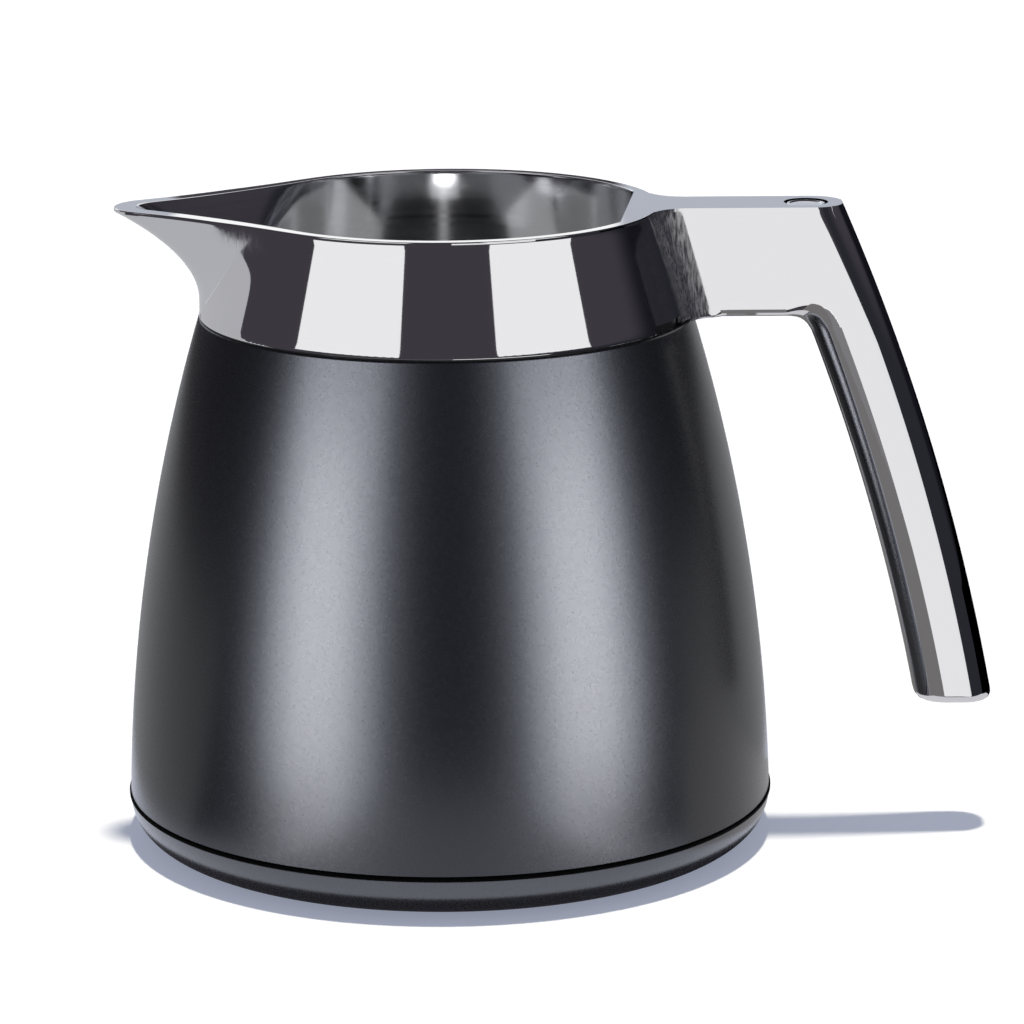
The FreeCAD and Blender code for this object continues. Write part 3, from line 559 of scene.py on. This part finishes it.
def socket_cutter():
    """Room round the spigot for the shell's shoulder and the neck ring."""
    low = SPIGOT_LOW - CUTTER_PAST
    return lathe("socket_cutter", [
        (SPIGOT_RADIUS, low), (on_shell(-SHELL_CLEAR, low), low),
        (on_shell(-SHELL_CLEAR, SHOULDER), COLLAR_FOOT), (SOCKET_RADIUS, COLLAR_FOOT),
        (SOCKET_RADIUS, SOCKET_TOP), (SPIGOT_RADIUS, SOCKET_TOP)])


def window_cutter(side):
    """Window at the collar's foot beside the handle; side is 1 for the back and -1 for the front."""
    low, out = SHOULDER - WINDOW_PAST, SHOULDER_RADIUS + WINDOW_OUT
    corners = [(NECK_RING, low), (out, low), (out, WINDOW_TOP), (NECK_RING, WINDOW_TOP), (NECK_RING, low)]
    columns = []
    for share in spread(-0.5, 0.5, 13):
        turn = math.radians(side * WINDOW_MIDDLE + WINDOW_ANGLE * share)
        columns.append([(radius * math.cos(turn), radius * math.sin(turn), height)
                        for radius, height in corners])
    return close_ends(loft("window_cutter", columns))


def on_arm(piece):
    """Move a piece turned about the axis to the inlay's place."""
    piece.data.transform(Matrix.Translation((INLAY_OFFSET * MM, 0, 0)))
    return piece


def pocket_cutter():
    radius, top = INLAY_RADIUS + INLAY_CLEAR, RIM + TOP_SPARE
    profile = [(AXIS, INLAY_SEAT), (radius, INLAY_SEAT), (radius, top), (AXIS, top)]
    return on_arm(lathe("pocket_cutter", profile, around=72))


def spout_casting(polish, inside, pocket_shade):
    """Collar, spout, arm and grip in one; the cuts bring the finishes of mouth and socket, and near-black
    painted shade on the pocket's walls.
    """
    piece = loft("spout_casting", collar_columns() + flare_columns() + handle_columns())
    apply(piece, "MIRROR", use_axis=(False, True, False), merge_threshold=2 * SEAM * MM)
    slice_off(piece, (0, 0, RIM), (0, 0, 1))
    close_ends(piece)
    give(piece, polish, inside)
    cut(piece, spigot(), "UNION")
    cut(piece, give(socket_cutter(), inside))
    cut(piece, give(mouth_cutter(), inside))
    for side in (1, -1):
        cut(piece, window_cutter(side))
    # The pocket's walls get near-black painted shade: the dark gap round the inlay
    cut(piece, give(pocket_cutter(), pocket_shade))
    soften(piece, RIM, RIM_EDGE, 3, lambda point: point.x < RIM_SOFT_END)
    soften(piece, COLLAR_FOOT, FOOT_EDGE, 2,
           lambda point: FOOT_NEAR < math.hypot(point.x, point.y) < FOOT_FAR)
    smooth(piece, 40)
    apply(piece, "WEIGHTED_NORMAL", keep_sharp=True, weight=60)
    return piece


def arm_inlay():
    """Plain dished disc with a raised rim."""
    radius = INLAY_RADIUS - INLAY_RING
    low = INLAY_TOP - INLAY_DISH
    dish = [(radius * share, low + INLAY_CROWN * share ** 2) for share in (0.72, 0.5, 0.3, 0.12)]
    edge = arc((radius - INLAY_EDGE, INLAY_TOP - INLAY_EDGE), INLAY_EDGE, 0, 90, 4)
    return on_arm(lathe("arm_inlay", [
        (AXIS, INLAY_SEAT), (radius, INLAY_SEAT), *edge, (radius - INLAY_RIM, INLAY_TOP),
        (radius - INLAY_RIM - INLAY_SLOPE, INLAY_TOP - INLAY_SLOPE), *dish, (AXIS, low)], around=72))


# Nodes, for finishes and for the studio's world
NOISE_LOW, NOISE_HIGH = 0.3, 0.7  # nearly all of a noise lies between these
MIX_FACTOR, MIX_FIRST, MIX_SECOND, MIX_RESULT = 0, 6, 7, 2  # sockets of a Mix node that mixes colours


def add_node(tree, kind, **settings):
    """New node, with sockets and settings given by name."""
    node = tree.nodes.new(kind)
    for key, value in settings.items():
        if key in node.inputs:
            node.inputs[key].default_value = value
        else:
            setattr(node, key, value)
    return node


def feed(tree, slot, value):
    """Give a socket what another socket says, or a plain value."""
    if isinstance(value, bpy.types.NodeSocket):
        tree.links.new(value, slot)
    else:
        slot.default_value = value


def fed(tree, node, *values):
    """Feed a node's first sockets in turn and give its first result."""
    for slot, value in zip(node.inputs, values):
        feed(tree, slot, value)
    return node.outputs[0]


def maths(tree, operation, *values):
    return fed(tree, add_node(tree, "ShaderNodeMath", operation=operation), *values)


def vector_maths(tree, operation, *values):
    return fed(tree, add_node(tree, "ShaderNodeVectorMath", operation=operation), *values)


def product(tree, first, second):
    return maths(tree, "MULTIPLY", first, second)


def ramp(tree, value, low, high, first=0.0, last=1.0):
    """Result that goes from first to last as the value goes from low to high."""
    return fed(tree, add_node(tree, "ShaderNodeMapRange"), value, low, high, first, last)


def soft_step(tree, value, low, high):
    """Result that goes softly from none to one as the value goes from low to high."""
    return fed(tree, add_node(tree, "ShaderNodeMapRange", interpolation_type="SMOOTHSTEP"), value, low, high)


def between(tree, value, low, high, soft):
    """Mask that is one where a coordinate socket lies between two values in mm, with soft ends."""
    half = soft / 2
    return product(tree, soft_step(tree, value, (low - half) * MM, (low + half) * MM),
                   soft_step(tree, value, (high + half) * MM, (high - half) * MM))


def mixed(tree, factor, first, second):
    """Colour mix by a factor; first and second are sockets or colours."""
    node = add_node(tree, "ShaderNodeMix", data_type="RGBA")
    for index, value in ((MIX_FACTOR, factor), (MIX_FIRST, first), (MIX_SECOND, second)):
        feed(tree, node.inputs[index], value)
    return node.outputs[MIX_RESULT]


def split(tree, vector):
    """X, Y and Z of a vector."""
    node = add_node(tree, "ShaderNodeSeparateXYZ")
    tree.links.new(vector, node.inputs[0])
    return list(node.outputs)


def place_on_part(tree):
    return add_node(tree, "ShaderNodeTexCoord").outputs["Object"]


def grain(tree, scale, stretch=(1, 1, 1), detail=3.0):
    """Noise in the part's own frame, stretched along the axes."""
    mapping = add_node(tree, "ShaderNodeMapping", Scale=stretch)
    noise = add_node(tree, "ShaderNodeTexNoise", Scale=scale, Detail=detail)
    tree.links.new(place_on_part(tree), mapping.inputs["Vector"])
    tree.links.new(mapping.outputs["Vector"], noise.inputs["Vector"])
    return noise.outputs["Fac"]


def shader(tree):
    return tree.nodes["Principled BSDF"]


def uneven_gloss(tree, noise, low, high):
    """Roughness that varies between two values by a noise."""
    tree.links.new(ramp(tree, noise, NOISE_LOW, NOISE_HIGH, low, high), shader(tree).inputs["Roughness"])


def roughen(tree, height, strength, depth):
    bump = add_node(tree, "ShaderNodeBump", Strength=strength, Distance=depth * MM)
    tree.links.new(height, bump.inputs["Height"])
    tree.links.new(bump.outputs["Normal"], shader(tree).inputs["Normal"])


# Finishes
def finish(name, **sockets):
    """New material whose shader sockets are set by name, and its nodes."""
    material = bpy.data.materials.new(name)
    material.use_nodes = True
    for key, value in sockets.items():
        shader(material.node_tree).inputs[key.replace("_", " ")].default_value = value
    return material, material.node_tree


def black_powder_coat():
    material, tree = finish("black_powder_coat", Base_Color=(0.0016, 0.0017, 0.0024, 1), IOR=1.5)
    roughen(tree, grain(tree, 2600, detail=2.0), 0.06, 0.02)
    uneven_gloss(tree, grain(tree, 900, detail=4.0), 0.26, 0.28)
    return material


# Polishing marks: each band has a start, an end and a softness in mm
ROOT_SLOPE = 0.28  # the bands at the handle's roots lean by this much for each mm of height
ROOT_SCUFFS, ROOT_SCRATCHES = (80.0, 86.0, 2.0), (87.0, 93.4, 1.6)
SPOUT_MARKS_ALONG, SPOUT_MARKS_UP = (-56.0, -38.0, 8.0), (140.0, 144.8, 4.0)
SCUFF_SHARE, SPOUT_MARKS_SHARE = 0.3, 0.5
STREAK_LOW, STREAK_HIGH = 0.22, 0.7
MIRROR_GLOSS, SCRATCHED_GLOSS = 0.035, 0.42
UPRIGHT, LEVEL = 0.7, 0.9  # a surface is upright where its normal's height is under one, level over the other
# The rim's top leans a little outwards, more at the back
RIM_ALONG, RIM_BACK, RIM_FRONT = (-62.0, 40.0, 14.0), (8.0, 70.0, 8.0), (-70.0, -8.0, 8.0)
RIM_LEAN, RIM_BACK_MORE = 0.075, 1.4


def polished_cast():
    """Mirror polish with dull hand-polish marks at the handle's roots and under the spout's rim."""
    material, tree = finish("polished_cast", Base_Color=(0.76, 0.76, 0.775, 1), Metallic=1.0)
    x, y, z = split(tree, place_on_part(tree))
    normal = add_node(tree, "ShaderNodeNewGeometry").outputs["Normal"]
    facing_up = split(tree, normal)[2]

    along_root = maths(tree, "MULTIPLY_ADD", z, ROOT_SLOPE, x)
    scuffs = product(tree, between(tree, along_root, *ROOT_SCUFFS), SCUFF_SHARE)
    roots = maths(tree, "MAXIMUM", scuffs, between(tree, along_root, *ROOT_SCRATCHES))
    spout = product(tree, between(tree, x, *SPOUT_MARKS_ALONG), between(tree, z, *SPOUT_MARKS_UP))
    dull = maths(tree, "MAXIMUM", roots, product(tree, spout, SPOUT_MARKS_SHARE))
    streaks = ramp(tree, grain(tree, 2400, stretch=(1, 1, 0.05), detail=6.0), STREAK_LOW, STREAK_HIGH)
    upright = maths(tree, "LESS_THAN", facing_up, UPRIGHT)
    marks = product(tree, product(tree, dull, upright), streaks)
    gloss = ramp(tree, marks, 0.0, 1.0, MIRROR_GLOSS, SCRATCHED_GLOSS)
    tree.links.new(gloss, shader(tree).inputs["Roughness"])

    back = product(tree, between(tree, y, *RIM_BACK), RIM_BACK_MORE)
    outward = maths(tree, "SUBTRACT", back, between(tree, y, *RIM_FRONT))
    rim = product(tree, between(tree, x, *RIM_ALONG), outward)
    lean = add_node(tree, "ShaderNodeVectorMath", operation="SCALE")
    lean.inputs[0].default_value = (0, RIM_LEAN, 0)
    tree.links.new(product(tree, rim, maths(tree, "GREATER_THAN", facing_up, LEVEL)), lean.inputs["Scale"])
    leaning = vector_maths(tree, "NORMALIZE", vector_maths(tree, "ADD", normal, lean.outputs[0]))
    tree.links.new(leaning, shader(tree).inputs["Normal"])
    return material


def brushed_inside():
    """Bore brushed round its axis."""
    material, tree = finish("brushed_inside", Base_Color=(0.6, 0.605, 0.63, 1), Metallic=1.0, Anisotropic=0.7)
    uneven_gloss(tree, grain(tree, 60, stretch=(0.2, 0.2, 40), detail=6.0), 0.08, 0.13)
    around = add_node(tree, "ShaderNodeTangent", direction_type="RADIAL", axis="Z")
    tree.links.new(around.outputs[0], shader(tree).inputs["Tangent"])
    return material


def brushed_steel():
    material, tree = finish("brushed_steel", Base_Color=(0.56, 0.57, 0.58, 1), Metallic=1.0)
    uneven_gloss(tree, grain(tree, 70, stretch=(1, 1, 12), detail=8.0), 0.24, 0.38)
    return material


def plain(name, colour, low, high, metallic=0.0, scale=1500, specular=0.5):
    """Moulded or machined finish with a fine uneven gloss between low and high."""
    material, tree = finish(name, Base_Color=(*colour, 1), Metallic=metallic, Specular_IOR_Level=specular)
    noise = grain(tree, scale)
    uneven_gloss(tree, noise, low, high)
    roughen(tree, noise, 0.05, 0.02)
    return material


coat = black_powder_coat()
polish = polished_cast()
inside = brushed_inside()
steel = brushed_steel()
cap_black = plain("cap_black", (0.012, 0.0125, 0.016), 0.24, 0.3, specular=1.0)
silicone = plain("black_silicone", (0.006, 0.006, 0.0065), 0.4, 0.55)
# Near-black matt rubber of the groove ring; the same finish is painted shade on the inlay pocket's walls
groove_rubber_and_pocket_shade = plain("groove_rubber_and_pocket_shade", (0.002, 0.002, 0.0022), 0.7, 0.9, specular=0.1)
# Locating lugs as nearly black metal: painted shade for the dark windows beside the handle
lug_painted_shade = plain("lug_painted_shade", (0.05, 0.05, 0.052), 0.4, 0.6, metallic=1.0)
fixing = plain("fixing_steel", (0.5, 0.5, 0.51), 0.25, 0.4, metallic=1.0)
foil = plain("shield_foil", (0.8, 0.8, 0.8), 0.2, 0.3, metallic=1.0, scale=300)
getter = plain("getter_metal", (0.16, 0.15, 0.14), 0.5, 0.7, metallic=1.0)
bead = plain("bead_glass", (0.2, 0.22, 0.2), 0.05, 0.12)
chrome = plain("inlay_chrome", (0.95, 0.95, 0.96), 0.08, 0.16, metallic=1.0)

NODE_FINISH = {
    "bottom_pan": steel, "port_bead": bead, "radiation_shield": foil, "getter_pellet": getter,
    "getter_clip": fixing, "neck_ring": steel, "neck_seal": silicone, "retaining_ring": fixing,
    "collar_gasket": silicone, "locating_lug_back": lug_painted_shade, "locating_lug_front": lug_painted_shade,
}
for letter in "abc":
    NODE_FINISH[f"base_boss_{letter}"] = steel
    NODE_FINISH[f"base_screw_{letter}"] = fixing
for node, material in NODE_FINISH.items():
    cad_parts[node].data.materials.clear()
    give(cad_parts[node], material)

# Pieces, each in place of its node; the casting brings its own finishes
PIECES = [
    (shell_skin(), coat, "outer_shell", "shell_paint"),
    (base_cup(), cap_black, "base_cap", "cap_black"),
    (groove_ring(), groove_rubber_and_pocket_shade, "base_gasket", "black_silicone"),
    (rest_pad(), silicone, "foot_pad", "black_silicone"),
    (liner_wall(), steel, "inner_wall", "flask_steel"),
    (liner_neck(), steel, "inner_neck", "flask_steel"),
    (liner_dish(), steel, "inner_bottom", "flask_steel"),
    (spout_casting(polish, inside, groove_rubber_and_pocket_shade), None, "spout_collar_handle", "cast_polish"),
    (arm_inlay(), chrome, "handle_inlay", "inlay_chrome"),
]
for piece, material, node, slot in PIECES:
    if material:
        give(piece, material)
    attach(piece, "root")
    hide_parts(node)

# Stage, in metres: floor, reflection cards, camera and studio light
FLOOR_LEVEL, CARD_LEVEL, CARD_STEP = -0.0003, -0.0001, 0.0001
FLOOR_FRONT, FLOOR_LEFT, FLOOR_RIGHT, FLOOR_REAR = -0.25, -0.1, 0.1, 0.2
FLOOR_END, FAR = -0.8, 9.0
FOOT_HOLE, CARD_RING, TINY = 0.075, 1.1, 1e-9
CARD_LEFT_CORNER = -0.62


def stage_plane(name, left, right, front, rear, material, level=FLOOR_LEVEL):
    deselect()
    bpy.ops.mesh.primitive_plane_add(size=1, location=((left + right) / 2, (front + rear) / 2, level))
    plane = bpy.context.object
    plane.name = name
    plane.scale = (right - left, rear - front, 1)
    bpy.ops.object.transform_apply(location=True, rotation=True, scale=True)
    give(plane, material)
    return plane


def stage_finish(name, colour, glow, strength):
    """Matt finish with a soft glow of its own."""
    material, tree = finish(name, Base_Color=(*colour, 1), Specular_IOR_Level=0.0,
                            Emission_Color=(*glow, 1), Emission_Strength=strength)
    uneven_gloss(tree, grain(tree, 40), 0.9, 1.0)
    return material


# Floor: a part round the foot, and four that carry it far out on every side
pale = stage_finish("pale_floor", (0.8, 0.8, 0.8), (0.72, 0.79, 1.0), 0.34)
floor_parts = []
for name, left, right, front, rear in (
        ("floor", FLOOR_LEFT, FLOOR_RIGHT, FLOOR_FRONT, FLOOR_REAR),
        ("floor_left", -FAR, FLOOR_LEFT, FLOOR_FRONT, FLOOR_REAR),
        ("floor_right", FLOOR_RIGHT, FAR, FLOOR_FRONT, FLOOR_REAR),
        ("floor_front", -FAR, FAR, FLOOR_END, FLOOR_FRONT),
        ("floor_rear", -FAR, FAR, FLOOR_REAR, FAR)):
    part = stage_plane(name, left, right, front, rear, pale)
    part.visible_glossy = False
    floor_parts.append(part)

# Cards at floor level, seen only in reflections
dim = stage_finish("side_card", (0, 0, 0), (0.95, 0.96, 1.0), 0.56)
bright = stage_finish("foot_floor_card", (0.2, 0.2, 0.215), (0.9, 0.96, 1.14), 1.05)
pearl = stage_finish("arm_floor_card", (0, 0, 0), (0.97, 0.96, 1.0), 0.75)


def reflected_only(card):
    card.visible_camera = card.visible_diffuse = card.visible_shadow = card.visible_transmission = False
    return card


def foot_card(hole, side, front, rear, material):
    """Card on the floor round the foot: a ring about the cap, its outside drawn out to a rectangle."""
    deselect()
    bpy.ops.mesh.primitive_circle_add(vertices=96, radius=hole, location=(0, 0, 0), enter_editmode=True)
    bpy.ops.mesh.extrude_edges_move(TRANSFORM_OT_translate={"value": (0, 0, 0)})
    bpy.ops.transform.resize(value=(CARD_RING, CARD_RING, 1))
    card = settle("card_foot")
    for vertex in card.data.vertices:
        x, y, _ = vertex.co
        if math.hypot(x, y) > hole * (1 + CARD_RING) / 2:
            vertex.co *= min(side / max(abs(x), TINY), (rear if y > 0 else front) / max(abs(y), TINY))
        vertex.co.z = CARD_LEVEL
    give(card, material)
    return reflected_only(card)


card_left = reflected_only(stage_plane("card_left", left=-1.2, right=FLOOR_LEFT, front=-0.033, rear=0.8,
                                       material=dim, level=CARD_LEVEL))
# Its corner at the rear left is drawn in, clear of left_rear_card's reflection in the spout
corner = min(card_left.data.vertices, key=lambda vertex: vertex.co.x - vertex.co.y)
corner.co.x = CARD_LEFT_CORNER
card_right = reflected_only(stage_plane("card_right", left=FLOOR_RIGHT, right=1.8, front=-0.02, rear=1.8,
                                        material=dim, level=CARD_LEVEL))
reflected_only(stage_plane("card_arm", left=0.0766, right=0.3, front=-0.05, rear=0.05,
                           material=pearl, level=CARD_LEVEL + CARD_STEP))
card_foot = foot_card(FOOT_HOLE, FLOOR_RIGHT, -FLOOR_FRONT, FLOOR_REAR, bright)

# Camera, fitted to the photograph's ellipses
FOCAL_PIXELS, PICTURE_PIXELS, SENSOR = 4630.4, 1024, 36
CAMERA_PLACE, PITCH, ROLL = (0.01472, -1.02985, 0.32564), 0.2395, -0.0065
camera_data = bpy.data.cameras.new("camera")
camera_data.sensor_width = SENSOR
camera_data.lens = FOCAL_PIXELS * SENSOR / PICTURE_PIXELS
camera_data.clip_end = 100
camera = bpy.data.objects.new("camera", camera_data)
bpy.context.scene.collection.objects.link(camera)
camera.location = CAMERA_PLACE
facing = Euler((math.pi / 2 - PITCH, 0, 0)).to_matrix() @ Matrix.Rotation(ROLL, 3, "Z")
camera.rotation_euler = facing.to_euler()
bpy.context.scene.camera = camera

# Groups that the lights work on
shown = [piece for piece, *_ in PIECES] + list(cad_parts.values())


def group(name, pieces):
    collection = bpy.data.collections.new(name)
    for piece in pieces:
        collection.objects.link(piece)
    return collection


def named(*names):
    return [piece for piece in shown if piece.name in names]


black = named("shell_skin", "base_cup", "groove_ring")
painted = group("painted", named("shell_skin"))
metal = group("metal", [piece for piece in shown if piece not in black])
cap_only = group("cap_only", named("base_cup"))
whole = group("whole", shown)
black_pieces = group("black_pieces", named("shell_skin", "base_cup"))
ground = group("ground", floor_parts + [card_foot])
card_right.light_linking.receiver_collection = black_pieces
card_foot.light_linking.receiver_collection = black_pieces


def panel(name, azimuth, wide, low, high, distance, radiance, receivers, colour=(1, 1, 1), lean=0.0):
    """Soft panel round the part; azimuth is measured from the camera's side, in degrees to the right."""
    light = bpy.data.lights.new(name, "AREA")
    light.shape = "RECTANGLE"
    light.size, light.size_y = wide, high - low
    light.color = colour
    light.energy = radiance * math.pi * wide * (high - low)
    lamp = bpy.data.objects.new(name, light)
    bpy.context.scene.collection.objects.link(lamp)
    turn = math.radians(azimuth)
    lamp.location = (distance * math.sin(turn), -distance * math.cos(turn), (low + high) / 2)
    towards = Vector((-lamp.location.x, -lamp.location.y, 0)).to_track_quat("-Z", "Y")
    lamp.rotation_euler = (towards.to_matrix() @ Matrix.Rotation(math.radians(lean), 3, "Z")).to_euler()
    lamp.visible_camera = False
    lamp.light_linking.receiver_collection = receivers
    lamp.light_linking.blocker_collection = whole


# Panels: name, azimuth, width, lower and upper edge, distance, radiance, pieces lit, colour if not white
COOL_REAR, COOL_CAP = (0.96, 0.97, 1.0), (0.92, 0.96, 1.08)
panel("left_panel_metal", -46.0, 0.86, 0.32, 1.6, 0.9, 1.0, metal)
panel("right_panel_metal", 47.0, 0.76, 0.32, 1.6, 0.9, 1.0, metal)
panel("front_card", 25.6, 0.356, -0.2, 0.115, 0.451, 0.95, metal)
panel("low_left_card", -26.0, 0.55, -0.5, -0.02, 0.46, 0.19, metal)
panel("left_rear_card", -127.0, 0.8, -0.565, 0.635, 0.95, 0.48, metal, COOL_REAR, lean=45.0)
panel("cap_edge_light", 0.0, 1.6, 0.7, 1.3, 0.9, 1.8, cap_only, COOL_CAP)
panel("cap_line_light", 0.0, 1.6, 1.7, 3.4, 0.9, 6.0, cap_only)
# Light on the paint from each side: a nearly white core in a cooler wide panel and a bluish glow
PAINT_LOW = -0.14
for side, azimuth in (("left", -46.0), ("right", 49.5)):
    for name, wide, high, distance, radiance, colour in (
            ("glow", 1.1, 0.8, 0.92, 1.0, (0.86, 0.95, 1.16)),
            ("wide", 0.68, 0.52, 0.9, 6.2, (0.93, 0.965, 1.09)),
            ("core", 0.36, 0.3, 0.88, 6.8, (0.98, 0.975, 1.02))):
        panel(f"{side}_panel_{name}", azimuth, wide, PAINT_LOW, high, distance, radiance, painted, colour)

# Small lamps low in the mouth, in mm, which its back wall mirrors
MOUTH_LAMP = 40.8
for name, azimuth, wide, high, level, radiance, lean in (
        ("hot_spot", 1.0, 11.0, 3.0, 129.5, 5.0, 0),
        ("hot_spot_glow", 1.0, 17.0, 7.0, 127.5, 0.7, 0),
        ("streak", 2.0, 5.0, 18.0, 120.0, 0.5, 0),
        ("leaf_left", 84.1, 39.0, 26.0, 113.9, 0.36, 24),
        ("leaf_left_far", 131.0, 34.0, 22.0, 121.0, 0.2, 0),
        ("leaf_right", -80.0, 34.0, 26.0, 115.3, 0.4, -24),
        ("leaf_right_far", -126.0, 34.0, 22.0, 121.0, 0.2, 0)):
    panel(name, azimuth, wide * MM, (level - high / 2) * MM, (level + high / 2) * MM, MOUTH_LAMP * MM,
          radiance, metal, lean=lean)

# Key light from overhead, on the floor and the card round the foot alone
key = bpy.data.lights.new("overhead_key", "SUN")
key.energy = 2.8
key.color = (1.0, 0.954, 0.84)
key.angle = math.radians(3.0)
key_lamp = bpy.data.objects.new("overhead_key", key)
bpy.context.scene.collection.objects.link(key_lamp)
key_lamp.rotation_euler = (math.radians(-1.5), math.radians(1.8), 0)
key_lamp.light_linking.receiver_collection = ground

# World: dark sides, a pale backdrop behind, and white where the camera sees past the floor
DARK, BLACK, WHITE = (0.056, 0.052, 0.062, 1), (0.008, 0.008, 0.012, 1), (1, 1, 1, 1)
BACKDROP_LOW, BACKDROP_HIGH = (0.5, 0.53, 0.6, 1), (1.15, 1.15, 1.15, 1)
LOW_RIGHT, SOFT_FILL = (0.026, 0.026, 0.034, 1), (0.14, 0.15, 0.18, 1)
world = bpy.data.worlds.new("studio")
bpy.context.scene.world = world
world.use_nodes = True
sky = world.node_tree
sky.nodes.clear()
x, y, z = split(sky, add_node(sky, "ShaderNodeTexCoord").outputs["Generated"])
backdrop = mixed(sky, soft_step(sky, z, 0.24, 0.3), BACKDROP_LOW, BACKDROP_HIGH)
backdrop = mixed(sky, soft_step(sky, z, 0.02, 0.12), DARK, backdrop)
backdrop = mixed(sky, soft_step(sky, x, 0.12, 0.22), backdrop, BLACK)
right_rear = product(sky, soft_step(sky, x, 0.3, 0.6), soft_step(sky, y, 0.1, 0.45))
right_low = product(sky, soft_step(sky, x, 0.35, 0.6), soft_step(sky, z, 0.22, 0.1))
sides = mixed(sky, right_rear, mixed(sky, right_low, DARK, LOW_RIGHT), BLACK)
studio = mixed(sky, soft_step(sky, y, 0.62, 0.86), sides, backdrop)
path = add_node(sky, "ShaderNodeLightPath")
diffuse = mixed(sky, path.outputs["Is Diffuse Ray"], studio, SOFT_FILL)
seen = mixed(sky, path.outputs["Is Camera Ray"], diffuse, WHITE)
background = add_node(sky, "ShaderNodeBackground")
sky.links.new(seen, background.inputs["Color"])
sky.links.new(background.outputs[0], add_node(sky, "ShaderNodeOutputWorld").inputs["Surface"])

bpy.context.scene.view_settings.view_transform = "Standard"
